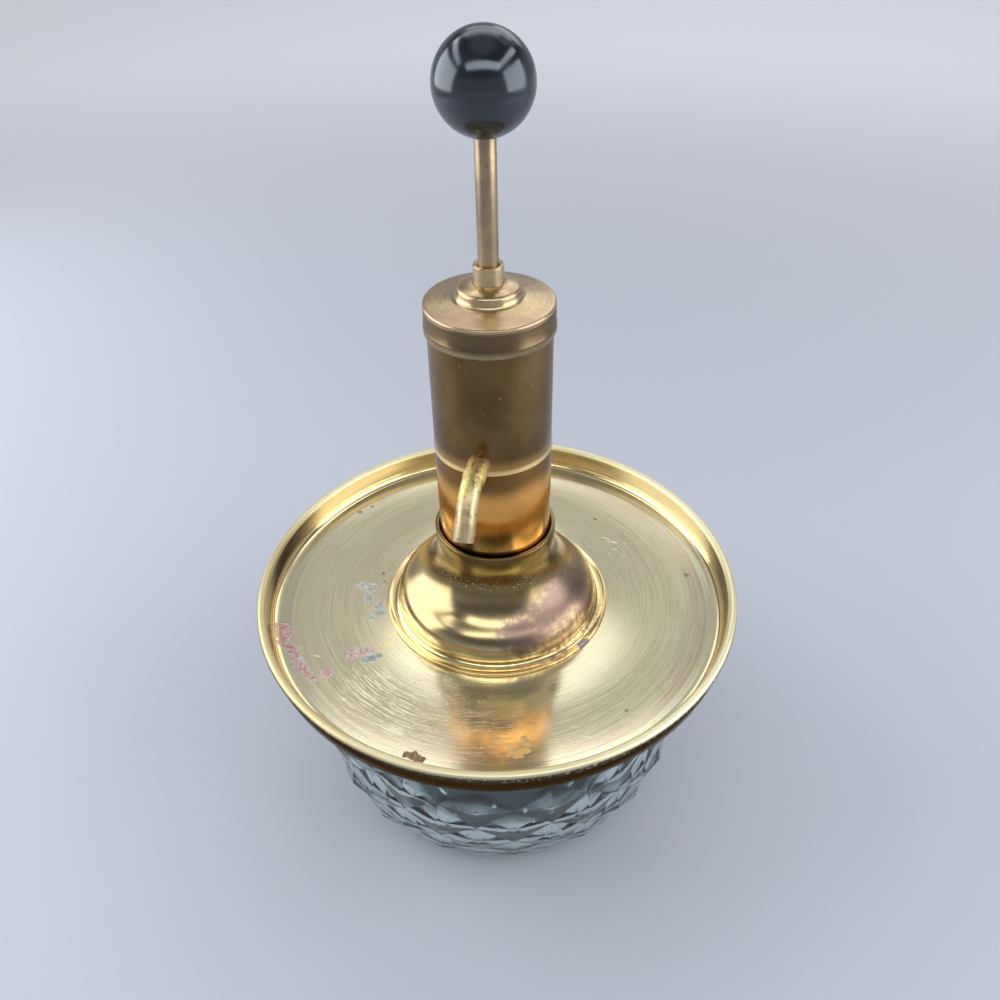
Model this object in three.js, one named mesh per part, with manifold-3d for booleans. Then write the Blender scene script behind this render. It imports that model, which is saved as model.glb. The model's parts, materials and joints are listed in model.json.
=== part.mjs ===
// A pump decanter: a diamond-cut glass bowl, a brass lid that carries a serving tray,
// and a lift pump in a brass column, worked by a black ball knob.
// Millimetres, +Z up. The origin is the centre of the bowl's foot, and the spout points to -Y.

import * as THREE from 'three';
import { mergeVertices } from 'three/addons/utils/BufferGeometryUtils.js';
import Module from 'manifold-3d';

const wasm = await Module();
wasm.setup();

// Counts and angles
const tray_sides = 52;
const column_sides = 32;
const part_sides = 20;
const small_sides = 12;
const diamonds_around = 16;
const bowl_sides = 2 * diamonds_around;
const diamond_rows = 7;
const touch_samples = 200;
const touch_rounds = 40;
const nut_sides = 6;
const bowl_turn = THREE.MathUtils.degToRad(5.45);
const spout_bend = THREE.MathUtils.degToRad(53);
const quarter = Math.PI / 2;

// Fits shared by several pieces
const seat_gap = 0.05;
const running_gap = 0.06;
const slip_gap = 0.3;
const cut_overrun = 2;

// Glass bowl
const bowl_radius = 79.6;
const waist_height = 48;
const lower_curve = 65;
const upper_curve = 75;
const first_row_height = 8.1;
const row_pitch = 10.65;
const cell_rise = 3.4;
const belt_depth = 3;
const belt_bite = 1.2;
const belt_lap = 0.8;
const belt_collar = 0.3;
const foot_radius = 57;
const heel_height = 2.2;
const heel_overhang = 2.6;
const recess_radius = 43;
const recess_depth = 1.4;
const bowl_wall = 6;
const floor_thickness = 7;
const floor_corner = 15;
const shoulder_rise = 16;
const shoulder_fillet = 3;
const neck_radius = 46;
const neck_wall = 5.5;
const neck_rise = 14;
const rim_rounding = 1.2;

// Lid under the tray
const tray_sheet = 1;
const cap_ring_sheet = 1;
const cap_ring_wall = 1.6;
const cap_ring_depth = 13.5;
const cap_ring_hole = 21;
const thread_depth = 1.4;
const gasket_inset = 0.4;
const gasket_thickness = 1.65;

// Tray
const rim_radius = 100;
const rim_height = 10.8;
const rim_roll = 1.55;
const rim_lean = 2.3;
const rim_skirt_drop = 0.5;
const rim_sheet = 0.8;
const tray_foot_radius = 94.1;
const tray_foot_fillet = 1.2;

// Dome that covers the pump's foot
const dome_sheet = 1.5;
const dome_flange_radius = 46.84;
const dome_flange_height = 1.05;
const dome_flange_edge = 0.55;
const dome_cove_radius = 45;
const dome_cove_height = 0.6;
const dome_body_radius = 41.9;
const dome_body_foot = 1.5;
const dome_body_height = 15.5;
const dome_body_centre = 20;
const dome_body_power = 2.4;
const dome_neck_radius = 24.1;
const dome_neck_foot = 34;
const dome_neck_height = 41;
const dome_neck_rounding = 0.5;

// Column: barrel below the seam, spring chamber above it
const column_radius = 22;
const barrel_bore = 19;
const barrel_length = 63.7;
const chamber_bore = 20.4;
const chamber_length = 58.5;
const spigot_length = 6;
const seam_bead = 0.35;
const seam_bead_height = 1.2;

// Top cap and guide bush
const cap_sheet = 0.7;
const cap_radius = 22.8;
const cap_skirt = 10.8;
const cap_lip = 0.25;
const cap_lip_height = 0.9;
const cap_edge_rounding = 0.9;
const cap_crown = 1.4;
const boss_radius = 11.46;
const boss_rise = 5.2;
const boss_wall = 0.8;
const bush_radius = 5.2;
const bush_show = 6.1;
const bush_flange_radius = 6.2;
const bush_flange_thickness = 1.4;
const bush_flange_drop = 3.2;
const bush_chamfer = 0.4;

// Spout
const spout_radius = 3.75;
const spout_bore = 2.75;
const spout_rise = 5.2;
const spout_reach = 31;
const spout_corner_radius = 12;
const spout_tip_length = 12;
const spout_fit = 0.2;

// Foot valve, tail and dip tube
const valve_flange_thickness = 4;
const barrel_gasket_thickness = 0.5;
const pillar_rise = 11;
const pillar_radius = 14;
const tail_radius = 10;
const tail_gap = 0.15;
const tail_show = 3.45;
const valve_bore = 2.6;
const ball_gap = 1.2;
const seat_cone_rise = 0.85;
const inlet_ball_radius = 4;
const stop_pin_radius = 0.5;
const stop_pin_cover = 1.1;
const inlet_ball_lift = 1.88;
const stop_pin_bite = 2.5;
const dip_tube_radius = 4.5;
const dip_tube_bore = 3.5;
const dip_tube_clearance = 5;
const socket_depth = 7;
const tail_washer_radius = 17.5;
const tail_washer_thickness = 1.2;
const sealing_washer_thickness = 1.2;
const tail_nut_flats = 27;
const tail_nut_thickness = 6;

// Plunger: rod, knob, spring and piston
const rod_radius = 3.5;
const rod_show = 55.5;
const rod_end_depth = 6;
const knob_radius = 15.5;
const insert_radius = 5;
const insert_rim = 0.5;
const insert_head = 1;
const thread_radius = 2.5;
const piston_drop = 5.3;
const piston_thickness = 5;
const piston_radius = 17.1;
const cup_wall = 1.6;
const cup_lip_rise = 1.4;
const cup_gap = 0.08;
const retainer_radius = 15;
const retainer_thickness = 1.2;
const piston_nut_flats = 9;
const piston_nut_thickness = 3;
const rod_end_show = 0.5;
const port_count = 6;
const port_circle = 10;
const port_radius = 2.2;
const flap_radius = 13.2;
const flap_thickness = 1;
const flap_lift = 2;
const clip_radius = 5.4;
const clip_thickness = 1;
const clip_groove = 0.6;
const collar_radius = 9;
const collar_thickness = 3.3;
const collar_pin_radius = 0.75;
const spring_seat_thickness = 1;
const seat_port_count = 8;
const seat_port_circle = 14.5;
const seat_port_radius = 2.6;
const spring_radius = 7;
const spring_wire = 0.6;
const spring_turns = 10;
const spring_end_turns = 1;
const spring_steps = 8;
const wire_sides = 5;

// Shares of a cell's rise and of the heel's slope
const edge_cell_share = 0.4;
const heel_share = 0.45;

// Heights, each from the piece below it, from the bowl's foot to the knob
const belt_low = first_row_height;
const belt_high = first_row_height + (diamond_rows - 1) * row_pitch;
const shoulder_foot = belt_high - belt_lap;
const shoulder_top = shoulder_foot + shoulder_rise;
const neck_top = shoulder_top + neck_rise;
const ring_underside = neck_top + 2 * seat_gap + gasket_thickness;
const tray_underside = ring_underside + cap_ring_sheet + seat_gap;
const tray_height = tray_underside + tray_sheet;
const valve_flange_foot = tray_height + seat_gap + pillar_rise;
const valve_flange_top = valve_flange_foot + valve_flange_thickness;
const barrel_foot = valve_flange_top + barrel_gasket_thickness + seat_gap;
const seat_cone_foot = valve_flange_foot + seat_cone_rise;
const ball_rest = seat_cone_foot - valve_bore + inlet_ball_radius * Math.SQRT2 + running_gap;
const stop_pin_height = ball_rest + inlet_ball_radius + inlet_ball_lift + stop_pin_radius;
const valve_spigot_top = stop_pin_height + stop_pin_cover;
const seam_height = barrel_foot + barrel_length;
const piston_top = seam_height - piston_drop;
const spout_height = seam_height + spout_rise;
const cap_height = seam_height + chamber_length;
const crown_height = cap_height + cap_crown;
const boss_top = crown_height + boss_rise;
const bush_flange_height = boss_top - bush_flange_drop;
const bush_top_height = boss_top + bush_show;
const knob_height = bush_top_height + rod_show;
const rod_top = knob_height - rod_end_depth;

const brass_polished = { color: 0xc9a25a, roughness: 0.22, metalness: 1 };
const brass_tray = { color: 0xc8b98a, roughness: 0.34, metalness: 1 };
const brass_aged = { color: 0x9a7a45, roughness: 0.38, metalness: 1 };
const brass_turned = { color: 0xb98d46, roughness: 0.3, metalness: 1 };
const steel_bright = { color: 0xb8bcc0, roughness: 0.25, metalness: 1 };
const glass_clear = { color: 0xd7e6e1, roughness: 0.04, metalness: 0, transparent: true, opacity: 0.35 };
const rubber_black = { color: 0x1c1c1d, roughness: 0.8, metalness: 0 };
const leather_tan = { color: 0x7a4f2c, roughness: 0.7, metalness: 0 };
const knob_black = { color: 0x08090b, roughness: 0.12, metalness: 0 };

// Geometry helpers

// One closed body: shared corners are merged and collapsed triangles are left out.
function closed(geometry) {
  geometry.deleteAttribute('normal');
  geometry.deleteAttribute('uv');
  const merged = mergeVertices(geometry);
  const corners = merged.index.array;
  const kept = [];
  for (let i = 0; i < corners.length; i += 3) {
    const [a, b, c] = [corners[i], corners[i + 1], corners[i + 2]];
    if (a !== b && b !== c && c !== a) kept.push(a, b, c);
  }
  merged.setIndex(kept);
  return merged;
}

function toSolid(geometry) {
  const body = geometry.index && !geometry.attributes.normal ? geometry : closed(geometry);
  return new wasm.Manifold(new wasm.Mesh({
    numProp: 3,
    vertProperties: new Float32Array(body.attributes.position.array),
    triVerts: new Uint32Array(body.index.array),
  }));
}

function fromSolid(solid) {
  const mesh = solid.getMesh();
  const geometry = new THREE.BufferGeometry();
  geometry.setAttribute('position', new THREE.BufferAttribute(mesh.vertProperties, 3));
  geometry.setIndex(new THREE.BufferAttribute(mesh.triVerts, 1));
  return geometry;
}

function cut(blank, ...tools) {
  return fromSolid(tools.reduce((solid, tool) => solid.subtract(toSolid(tool)), toSolid(blank)));
}

function join(first, ...others) {
  return fromSolid(others.reduce((solid, other) => solid.add(toSolid(other)), toSolid(first)));
}

// A turned piece: the profile holds [radius, height] points, up its outside and down its inside.
function turned(profile, sides) {
  const outline = profile.map(([radius, height]) => new THREE.Vector2(radius, height));
  return closed(new THREE.LatheGeometry(outline, sides).rotateX(quarter));
}

// A turned ring, whose profile closes on itself.
function turnedRing(profile, sides) {
  return turned([...profile, profile[0]], sides);
}

function plainRing(bore, radius, low, high, sides) {
  return turnedRing([[bore, low], [radius, low], [radius, high], [bore, high]], sides);
}

// Points of an arc about [radius, height], from one angle to another.
function arc(centre, size, from, to, steps) {
  return Array.from({ length: steps + 1 }, (_, i) => {
    const angle = from + ((to - from) * i) / steps;
    return [centre[0] + size * Math.cos(angle), centre[1] + size * Math.sin(angle)];
  });
}

// The same profile moved inwards by a sheet's thickness, along the normal at each point.
function inset(profile, thickness) {
  return profile.map(([radius, height], i) => {
    const before = profile[Math.max(i - 1, 0)];
    const after = profile[Math.min(i + 1, profile.length - 1)];
    const run = Math.hypot(after[0] - before[0], after[1] - before[1]);
    const shift = thickness / run;
    return [radius - (after[1] - before[1]) * shift, height + (after[0] - before[0]) * shift];
  });
}

// A round tool along Z, from one height to another.
function drill(radius, low, high, sides) {
  const length = high - low;
  const tool = new THREE.CylinderGeometry(radius, radius, length, sides).rotateX(quarter);
  return tool.translate(0, 0, low + length / 2);
}

// A round pin along X at a height.
function crossPin(radius, halfLength, height) {
  const pin = new THREE.CylinderGeometry(radius, radius, 2 * halfLength, small_sides);
  return closed(pin.rotateZ(quarter).translate(0, 0, height));
}

function ringOfDrills(count, circle, radius, low, high) {
  return Array.from({ length: count }, (_, i) => {
    const angle = (2 * Math.PI * i) / count;
    const tool = drill(radius, low, high, small_sides / 2);
    return tool.translate(circle * Math.cos(angle), circle * Math.sin(angle), 0);
  });
}

// A hexagonal nut with its bore, between two heights.
function hexNut(flats, bore, low, high) {
  const corner = flats / Math.sqrt(3);
  return cut(drill(corner, low, high, nut_sides), drill(bore, low - cut_overrun, high + cut_overrun, part_sides));
}

// A tube or wire swept along a curve.
function swept(curve, radius, bore, segments, steps) {
  const section = new THREE.Shape();
  section.absarc(0, 0, radius, 0, 2 * Math.PI);
  if (bore > 0) {
    const hole = new THREE.Path();
    hole.absarc(0, 0, bore, 0, 2 * Math.PI);
    section.holes.push(hole);
  }
  return closed(new THREE.ExtrudeGeometry(section, { extrudePath: curve, curveSegments: segments, steps }));
}

const decanter = new THREE.Group();
const lid = new THREE.Group();
const pump = new THREE.Group();
const plunger = new THREE.Group();
decanter.add(lid);
lid.add(pump);
pump.add(plunger);

function addPiece(group, name, geometry, look) {
  geometry.computeVertexNormals();
  const mesh = new THREE.Mesh(geometry, new THREE.MeshStandardMaterial(look));
  mesh.name = name;
  group.add(mesh);
  return mesh;
}

// Glass bowl

// Radius of the bowl at the bottom of the cuts, at a height.
function bowlRadiusAt(height) {
  const reach = height < waist_height ? lower_curve : upper_curve;
  return bowl_radius * Math.sqrt(1 - ((height - waist_height) / reach) ** 2);
}

function rowHeight(row) {
  return first_row_height + row * row_pitch;
}

// The belt of diamonds: mitre cuts cross at every second point of each row,
// and each cell between four crossings rises to a low point.
function diamondBelt() {
  const places = [];
  const faces = [];
  const outer = [];
  const inner = [];
  const addPoint = (point) => places.push(point.x, point.y, point.z) / 3 - 1;
  const addQuad = (a, b, c, d) => faces.push(a, b, c, a, c, d);
  for (let row = 0; row < diamond_rows; row += 1) {
    const height = rowHeight(row);
    const ring = (radius) => Array.from({ length: bowl_sides }, (_, i) => {
      const angle = (2 * Math.PI * i) / bowl_sides;
      return addPoint(new THREE.Vector3(radius * Math.cos(angle), radius * Math.sin(angle), height));
    });
    outer.push(ring(bowlRadiusAt(height)));
    inner.push(ring(bowlRadiusAt(height) - belt_depth));
  }
  const pointAt = (index) => new THREE.Vector3().fromArray(places, 3 * index);
  for (let row = 0; row < diamond_rows; row += 1) {
    const low = Math.max(row - 1, 0);
    const high = Math.min(row + 1, diamond_rows - 1);
    for (let i = 0; i < bowl_sides; i += 1) {
      if ((i + row) % 2 === 1) {
        const left = (i + bowl_sides - 1) % bowl_sides;
        const right = (i + 1) % bowl_sides;
        const corners = [outer[low][i], outer[row][right], outer[high][i], outer[row][left]];
        addCell(corners, high - low === 2 ? cell_rise : cell_rise * edge_cell_share);
      }
    }
  }
  function addCell(corners, rise) {
    const centre = new THREE.Vector3();
    corners.forEach((corner) => centre.addScaledVector(pointAt(corner), 1 / corners.length));
    const outward = new THREE.Vector3(centre.x, centre.y, 0).setLength(rise);
    const peak = addPoint(centre.add(outward));
    corners.forEach((corner, i) => faces.push(corner, corners[(i + 1) % corners.length], peak));
  }
  for (let i = 0; i < bowl_sides; i += 1) {
    const next = (i + 1) % bowl_sides;
    const top = diamond_rows - 1;
    for (let row = 0; row < top; row += 1) {
      addQuad(inner[row][next], inner[row][i], inner[row + 1][i], inner[row + 1][next]);
    }
    addQuad(inner[0][i], inner[0][next], outer[0][next], outer[0][i]);
    addQuad(outer[top][i], outer[top][next], inner[top][next], inner[top][i]);
  }
  const belt = new THREE.BufferGeometry();
  belt.setAttribute('position', new THREE.Float32BufferAttribute(places, 3));
  belt.setIndex(faces);
  return closed(belt);
}

// The blown and moulded body inside the cuts, with its foot, shoulder, neck and hollow.
function bowlBlank() {
  const collar_low = bowlRadiusAt(belt_low) + belt_collar;
  const collar_high = bowlRadiusAt(belt_high) + belt_collar;
  const shoulder_start = neck_radius + shoulder_fillet;
  const foot = [
    [0, recess_depth],
    [recess_radius - recess_depth, recess_depth],
    [recess_radius, 0],
    [foot_radius, 0],
    [foot_radius + heel_overhang, heel_height],
    [foot_radius + heel_overhang + (collar_low - foot_radius - heel_overhang) * heel_share,
      heel_height + (belt_low - heel_height) * heel_share],
    [collar_low, belt_low + belt_lap],
  ];
  const core = Array.from({ length: diamond_rows }, (_, row) => {
    const height = THREE.MathUtils.clamp(rowHeight(row), belt_low + belt_lap, belt_high - belt_lap);
    return [bowlRadiusAt(height) - belt_bite, height];
  });
  const shoulder = [[collar_high, shoulder_foot]];
  const shoulder_steps = 5;
  for (let i = 1; i <= shoulder_steps; i += 1) {
    const angle = (quarter * i) / shoulder_steps;
    shoulder.push([
      shoulder_start + (collar_high - shoulder_start) * Math.cos(angle),
      shoulder_foot + shoulder_rise * Math.sin(angle),
    ]);
  }
  const neck = [
    [neck_radius, shoulder_top + shoulder_fillet],
    [neck_radius, neck_top - rim_rounding],
    [neck_radius - rim_rounding, neck_top],
    [neck_radius - neck_wall + rim_rounding, neck_top],
    [neck_radius - neck_wall, neck_top - rim_rounding],
    [neck_radius - neck_wall, shoulder_top - shoulder_fillet],
  ];
  return turned([...foot, ...core, ...shoulder, ...neck, ...hollow()], bowl_sides);
}

// The bowl's inside, from under the neck down to the floor.
function hollow() {
  const ceiling = shoulder_top - shoulder_fillet - bowl_wall / 2;
  const widest = bowl_radius - bowl_wall;
  const upper = [
    [widest * Math.sqrt(1 - ((ceiling - waist_height) / upper_curve) ** 2) - bowl_wall, ceiling],
    [bowlRadiusAt(rowHeight(diamond_rows - 2)) - bowl_wall, rowHeight(diamond_rows - 2)],
    [widest, waist_height],
  ];
  const lower = [diamond_rows - 4, diamond_rows - 5].map((row) => {
    return [bowlRadiusAt(rowHeight(row)) - bowl_wall, rowHeight(row)];
  });
  const corner_radius = bowlRadiusAt(rowHeight(1)) - bowl_wall - floor_corner;
  const corner = arc([corner_radius, floor_thickness + floor_corner], floor_corner, -quarter / 3, -quarter, 3);
  return [...upper, ...lower, ...corner, [0, floor_thickness]];
}

const bowl = addPiece(decanter, 'glass_bowl', join(bowlBlank(), diamondBelt()), glass_clear);
bowl.rotation.z = bowl_turn;

// Gasket and threaded cap ring

const neck_bore = neck_radius - neck_wall;

const bowl_gasket = plainRing(
  neck_bore + gasket_inset, neck_radius, neck_top + seat_gap, ring_underside - seat_gap, column_sides,
);
addPiece(decanter, 'bowl_gasket', bowl_gasket, rubber_black);

// The ring is pressed brass: a flat top under the tray and a skirt round the bowl's thread.
function screwCap() {
  const bore = neck_radius + thread_depth;
  const radius = bore + cap_ring_wall;
  const top = tray_underside - seat_gap;
  const foot = top - cap_ring_depth;
  return turnedRing([
    [cap_ring_hole, ring_underside],
    [bore, ring_underside],
    [bore, foot],
    [radius, foot],
    [radius, top - cap_ring_sheet],
    [radius - cap_ring_sheet, top],
    [cap_ring_hole, top],
  ], column_sides);
}

addPiece(lid, 'screw_cap', screwCap(), brass_turned);

// Tray: a flat spun disc with a leaning rim, whose edge is rolled over and folded down outside

function tray() {
  const roll_height = tray_height + rim_height - rim_roll;
  const roll_centre = [rim_radius - rim_roll, roll_height];
  const skirt_foot = tray_height - rim_skirt_drop;
  const outer_foot = rim_radius - rim_lean;
  const fold_top = roll_height - rim_sheet;
  const wall_top = rim_radius - 2 * rim_roll;
  return turnedRing([
    [tail_radius + slip_gap, tray_underside],
    [tray_foot_radius + rim_sheet, tray_underside],
    [wall_top + rim_sheet, fold_top],
    [rim_radius - rim_sheet, fold_top],
    [outer_foot - rim_sheet, skirt_foot],
    [outer_foot, skirt_foot],
    ...arc(roll_centre, rim_roll, 0, 2 * quarter, 5),
    [tray_foot_radius, tray_height + tray_foot_fillet],
    [tray_foot_radius - tray_foot_fillet, tray_height],
    [tail_radius + slip_gap, tray_height],
  ], tray_sides);
}

addPiece(lid, 'tray', tray(), brass_tray);

// Dome: a spun bell with a beaded flange, a full foot, a hollow flare and an upright neck

// The bell's full foot, out of a superellipse about the dome's axis.
function bellFoot(share) {
  const angle = quarter * share;
  const across = Math.cos(angle) ** (2 / dome_body_power);
  const up = Math.sin(angle) ** (2 / dome_body_power);
  return [
    dome_body_centre + (dome_body_radius - dome_body_centre) * across,
    tray_height + dome_body_foot + dome_body_height * up,
  ];
}

// The flare is the arc that leaves the neck upright and just touches the bell's foot.
function flareArc() {
  const samples = Array.from({ length: touch_samples }, (_, i) => i / touch_samples);
  let narrow = 0;
  let wide = dome_flange_radius;
  let touch = 0;
  for (let step = 0; step < touch_rounds; step += 1) {
    const size = (narrow + wide) / 2;
    const distances = samples.map((share) => {
      const [radius, height] = bellFoot(share);
      return Math.hypot(radius - dome_neck_radius - size, height - tray_height - dome_neck_foot);
    });
    const least = Math.min(...distances);
    touch = samples[distances.indexOf(least)];
    if (least > size) narrow = size;
    else wide = size;
  }
  return { size: (narrow + wide) / 2, touch };
}

function domeFlange() {
  const { size, touch } = flareArc();
  const centre = [dome_neck_radius + size, tray_height + dome_neck_foot];
  const [end_radius, end_height] = bellFoot(touch);
  const end_angle = 2 * Math.PI + Math.atan2(end_height - centre[1], end_radius - centre[0]);
  const foot_steps = 5;
  const foot = Array.from({ length: foot_steps }, (_, i) => bellFoot((touch * i) / foot_steps));
  const top = tray_height + dome_neck_height;
  const flange_foot = tray_height + seat_gap;
  const outside = [
    [dome_flange_radius, tray_height + dome_flange_edge],
    [(dome_flange_radius + dome_cove_radius) / 2, tray_height + dome_flange_height],
    [dome_cove_radius, tray_height + dome_cove_height],
    ...foot,
    ...arc(centre, size, end_angle, 2 * quarter, 5),
    [dome_neck_radius, top],
  ];
  const inside = inset(outside, dome_sheet);
  const clear = inside.map(([radius, height]) => [radius, Math.max(height, flange_foot)]);
  const first_clear = clear.findIndex(([, height]) => height > flange_foot);
  const bore = dome_neck_radius - dome_sheet;
  outside.pop();
  clear.pop();
  return turnedRing([
    [dome_flange_radius, flange_foot],
    ...outside,
    [dome_neck_radius, top - dome_neck_rounding],
    [dome_neck_radius - dome_neck_rounding, top],
    [bore, top],
    ...clear.slice(first_clear - 1).reverse(),
  ], column_sides);
}

addPiece(lid, 'dome_flange', domeFlange(), brass_polished);

// Foot valve: a turned plug that closes the barrel, with a pillar that stands on the tray
// and a threaded tail that the nut under the tray pulls down

const ball_chamber_bore = inlet_ball_radius + ball_gap;
const seal_foot = tray_underside - seat_gap - sealing_washer_thickness;
const washer_foot = seal_foot - seat_gap - tail_washer_thickness;
const nut_foot = washer_foot - seat_gap - tail_nut_thickness;
const tail_foot = nut_foot - tail_show;

function footValve() {
  const spigot = barrel_bore - running_gap;
  const cone_top = seat_cone_foot + ball_chamber_bore - valve_bore;
  const socket_end = tail_foot + socket_depth;
  const body = turnedRing([
    [dip_tube_radius + running_gap, tail_foot],
    [tail_radius, tail_foot],
    [tail_radius, tray_height + seat_gap],
    [pillar_radius, tray_height + seat_gap],
    [pillar_radius, valve_flange_foot],
    [column_radius, valve_flange_foot],
    [column_radius, valve_flange_top],
    [spigot, valve_flange_top],
    [spigot, valve_spigot_top],
    [ball_chamber_bore, valve_spigot_top],
    [ball_chamber_bore, cone_top],
    [valve_bore, seat_cone_foot],
    [valve_bore, socket_end],
    [dip_tube_radius + running_gap, socket_end],
  ], column_sides);
  const pin_half = ball_chamber_bore + stop_pin_bite + seat_gap;
  return cut(body, crossPin(stop_pin_radius + seat_gap, pin_half, stop_pin_height));
}

addPiece(pump, 'foot_valve_body', footValve(), brass_turned);

const barrel_gasket = plainRing(
  barrel_bore + gasket_inset, column_radius,
  barrel_foot - barrel_gasket_thickness, barrel_foot - seat_gap, column_sides,
);
addPiece(pump, 'barrel_gasket', barrel_gasket, leather_tan);

const stop_pin = crossPin(stop_pin_radius, ball_chamber_bore + stop_pin_bite, stop_pin_height);
addPiece(pump, 'ball_stop_pin', stop_pin, steel_bright);

// The ball rests where it touches the seat's 45 degree cone.
const inlet_ball = closed(new THREE.SphereGeometry(inlet_ball_radius, 14, 8).rotateX(quarter));
inlet_ball.translate(0, 0, ball_rest);
addPiece(pump, 'inlet_ball', inlet_ball, steel_bright);

const dip_tube_foot = floor_thickness + dip_tube_clearance;
const dip_tube = plainRing(
  dip_tube_bore, dip_tube_radius, dip_tube_foot, tail_foot + socket_depth - seat_gap, small_sides,
);
addPiece(pump, 'dip_tube', dip_tube, brass_aged);

const tail_bore = tail_radius + tail_gap;

addPiece(lid, 'sealing_washer', plainRing(
  tail_bore, tail_washer_radius, seal_foot, seal_foot + sealing_washer_thickness, part_sides,
), rubber_black);
addPiece(lid, 'mounting_washer', plainRing(
  tail_bore, tail_washer_radius, washer_foot, washer_foot + tail_washer_thickness, part_sides,
), brass_turned);
addPiece(lid, 'mounting_nut', hexNut(
  tail_nut_flats, tail_bore, nut_foot, nut_foot + tail_nut_thickness,
), brass_turned);

// Column: the barrel, and above the seam the spring chamber with its spigot

const spigot_foot = seam_height - spigot_length;

function lowerCylinder() {
  return turnedRing([
    [barrel_bore, barrel_foot],
    [column_radius, barrel_foot],
    [column_radius, seam_height],
    [chamber_bore, seam_height],
    [chamber_bore, spigot_foot - seat_gap],
    [barrel_bore, spigot_foot - seat_gap],
  ], column_sides);
}

addPiece(pump, 'lower_cylinder', lowerCylinder(), brass_polished);

const chamber_floor = seam_height + 4 * seat_gap;
const cylinder_top = cap_height - cap_sheet - seat_gap;

function upperCylinder() {
  const foot = seam_height + seat_gap;
  const tube = turnedRing([
    [barrel_bore, spigot_foot],
    [chamber_bore - running_gap, spigot_foot],
    [chamber_bore - running_gap, foot],
    [column_radius, foot],
    [column_radius + seam_bead, foot + seam_bead_height / 4],
    [column_radius + seam_bead, foot + seam_bead_height / 2],
    [column_radius, foot + seam_bead_height],
    [column_radius, cylinder_top],
    [chamber_bore, cylinder_top],
    [chamber_bore, chamber_floor],
    [barrel_bore, chamber_floor],
  ], column_sides);
  const hole = new THREE.CylinderGeometry(
    spout_radius + spout_fit, spout_radius + spout_fit, column_radius, part_sides,
  );
  hole.translate(0, -column_radius, spout_height);
  return cut(tube, hole);
}

addPiece(pump, 'upper_cylinder', upperCylinder(), brass_aged);

// Spout: a bent tube soldered through the cylinder's wall

function spoutPath() {
  const root = new THREE.Vector3(0, -chamber_bore - spout_fit, spout_height);
  const bend_start = new THREE.Vector3(0, -spout_reach, spout_height);
  const corner_run = spout_corner_radius * Math.tan(spout_bend / 2);
  const corner = bend_start.clone().add(new THREE.Vector3(0, -corner_run, 0));
  const down = new THREE.Vector3(0, -Math.cos(spout_bend), -Math.sin(spout_bend));
  const bend_end = corner.clone().addScaledVector(down, corner_run);
  const tip = bend_end.clone().addScaledVector(down, spout_tip_length);
  const path = new THREE.CurvePath();
  path.add(new THREE.LineCurve3(root, bend_start));
  path.add(new THREE.QuadraticBezierCurve3(bend_start, corner, bend_end));
  path.add(new THREE.LineCurve3(bend_end, tip));
  return path;
}

addPiece(pump, 'spout', swept(spoutPath(), spout_radius, spout_bore, 5, 11), brass_aged);

// Top cap with its boss, and the bush that guides the rod

// The boss rises in a quarter ellipse from the crown to the bush.
function bossCurve(radius, rise, foot, steps) {
  const hole = bush_radius + seat_gap;
  const last = Math.acos(hole / radius);
  return Array.from({ length: steps + 1 }, (_, i) => {
    const angle = (last * i) / steps;
    return [radius * Math.cos(angle), foot + (rise * Math.sin(angle)) / Math.sin(last)];
  });
}

function topCap() {
  const skirt_foot = cap_height - cap_skirt;
  const bore = column_radius + 2 * running_gap;
  return turnedRing([
    [bore, skirt_foot],
    [cap_radius + cap_lip, skirt_foot],
    [cap_radius, skirt_foot + cap_lip_height],
    ...arc([cap_radius - cap_edge_rounding, cap_height - cap_edge_rounding], cap_edge_rounding, 0, quarter, 2),
    ...bossCurve(boss_radius, boss_rise, crown_height, 4),
    ...bossCurve(boss_radius - boss_wall, boss_rise, crown_height - boss_wall, 4).reverse(),
    [bore, cap_height - cap_sheet],
  ], column_sides);
}

addPiece(pump, 'top_cap', topCap(), brass_aged);

function guideBush() {
  const bore = rod_radius + running_gap;
  return turnedRing([
    [bore, bush_flange_height],
    [bush_flange_radius, bush_flange_height],
    [bush_flange_radius, bush_flange_height + bush_flange_thickness],
    [bush_radius, bush_flange_height + bush_flange_thickness],
    [bush_radius, bush_top_height - bush_chamfer],
    [bush_radius - bush_chamfer, bush_top_height],
    [bore + bush_chamfer, bush_top_height],
    [bore, bush_top_height - bush_chamfer],
  ], part_sides);
}

addPiece(pump, 'guide_bush', guideBush(), brass_polished);

// Spring seat: a drilled disc on the chamber's step, which lets the drink rise to the spout

const seat_foot = chamber_floor + seat_gap;
const seat_top = seat_foot + spring_seat_thickness;

function springSeat() {
  const disc = plainRing(rod_radius + slip_gap, chamber_bore - 2 * running_gap, seat_foot, seat_top, part_sides);
  const low = seat_foot - cut_overrun;
  const high = seat_top + cut_overrun;
  return cut(disc, ...ringOfDrills(seat_port_count, seat_port_circle, seat_port_radius, low, high));
}

addPiece(pump, 'spring_seat', springSeat(), brass_turned);

// Plunger rod with its thread, clip groove and cross hole

const clip_foot = piston_top + flap_thickness + flap_lift + seat_gap;
const clip_top = clip_foot + clip_thickness;
const collar_top = bush_flange_height - slip_gap;
const collar_foot = collar_top - collar_thickness;
const collar_middle = (collar_top + collar_foot) / 2;
const retainer_foot = piston_top - piston_thickness - cup_wall - retainer_thickness - 3 * seat_gap;
const piston_nut_foot = retainer_foot - piston_nut_thickness - seat_gap;
const rod_foot = piston_nut_foot - rod_end_show;

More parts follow.
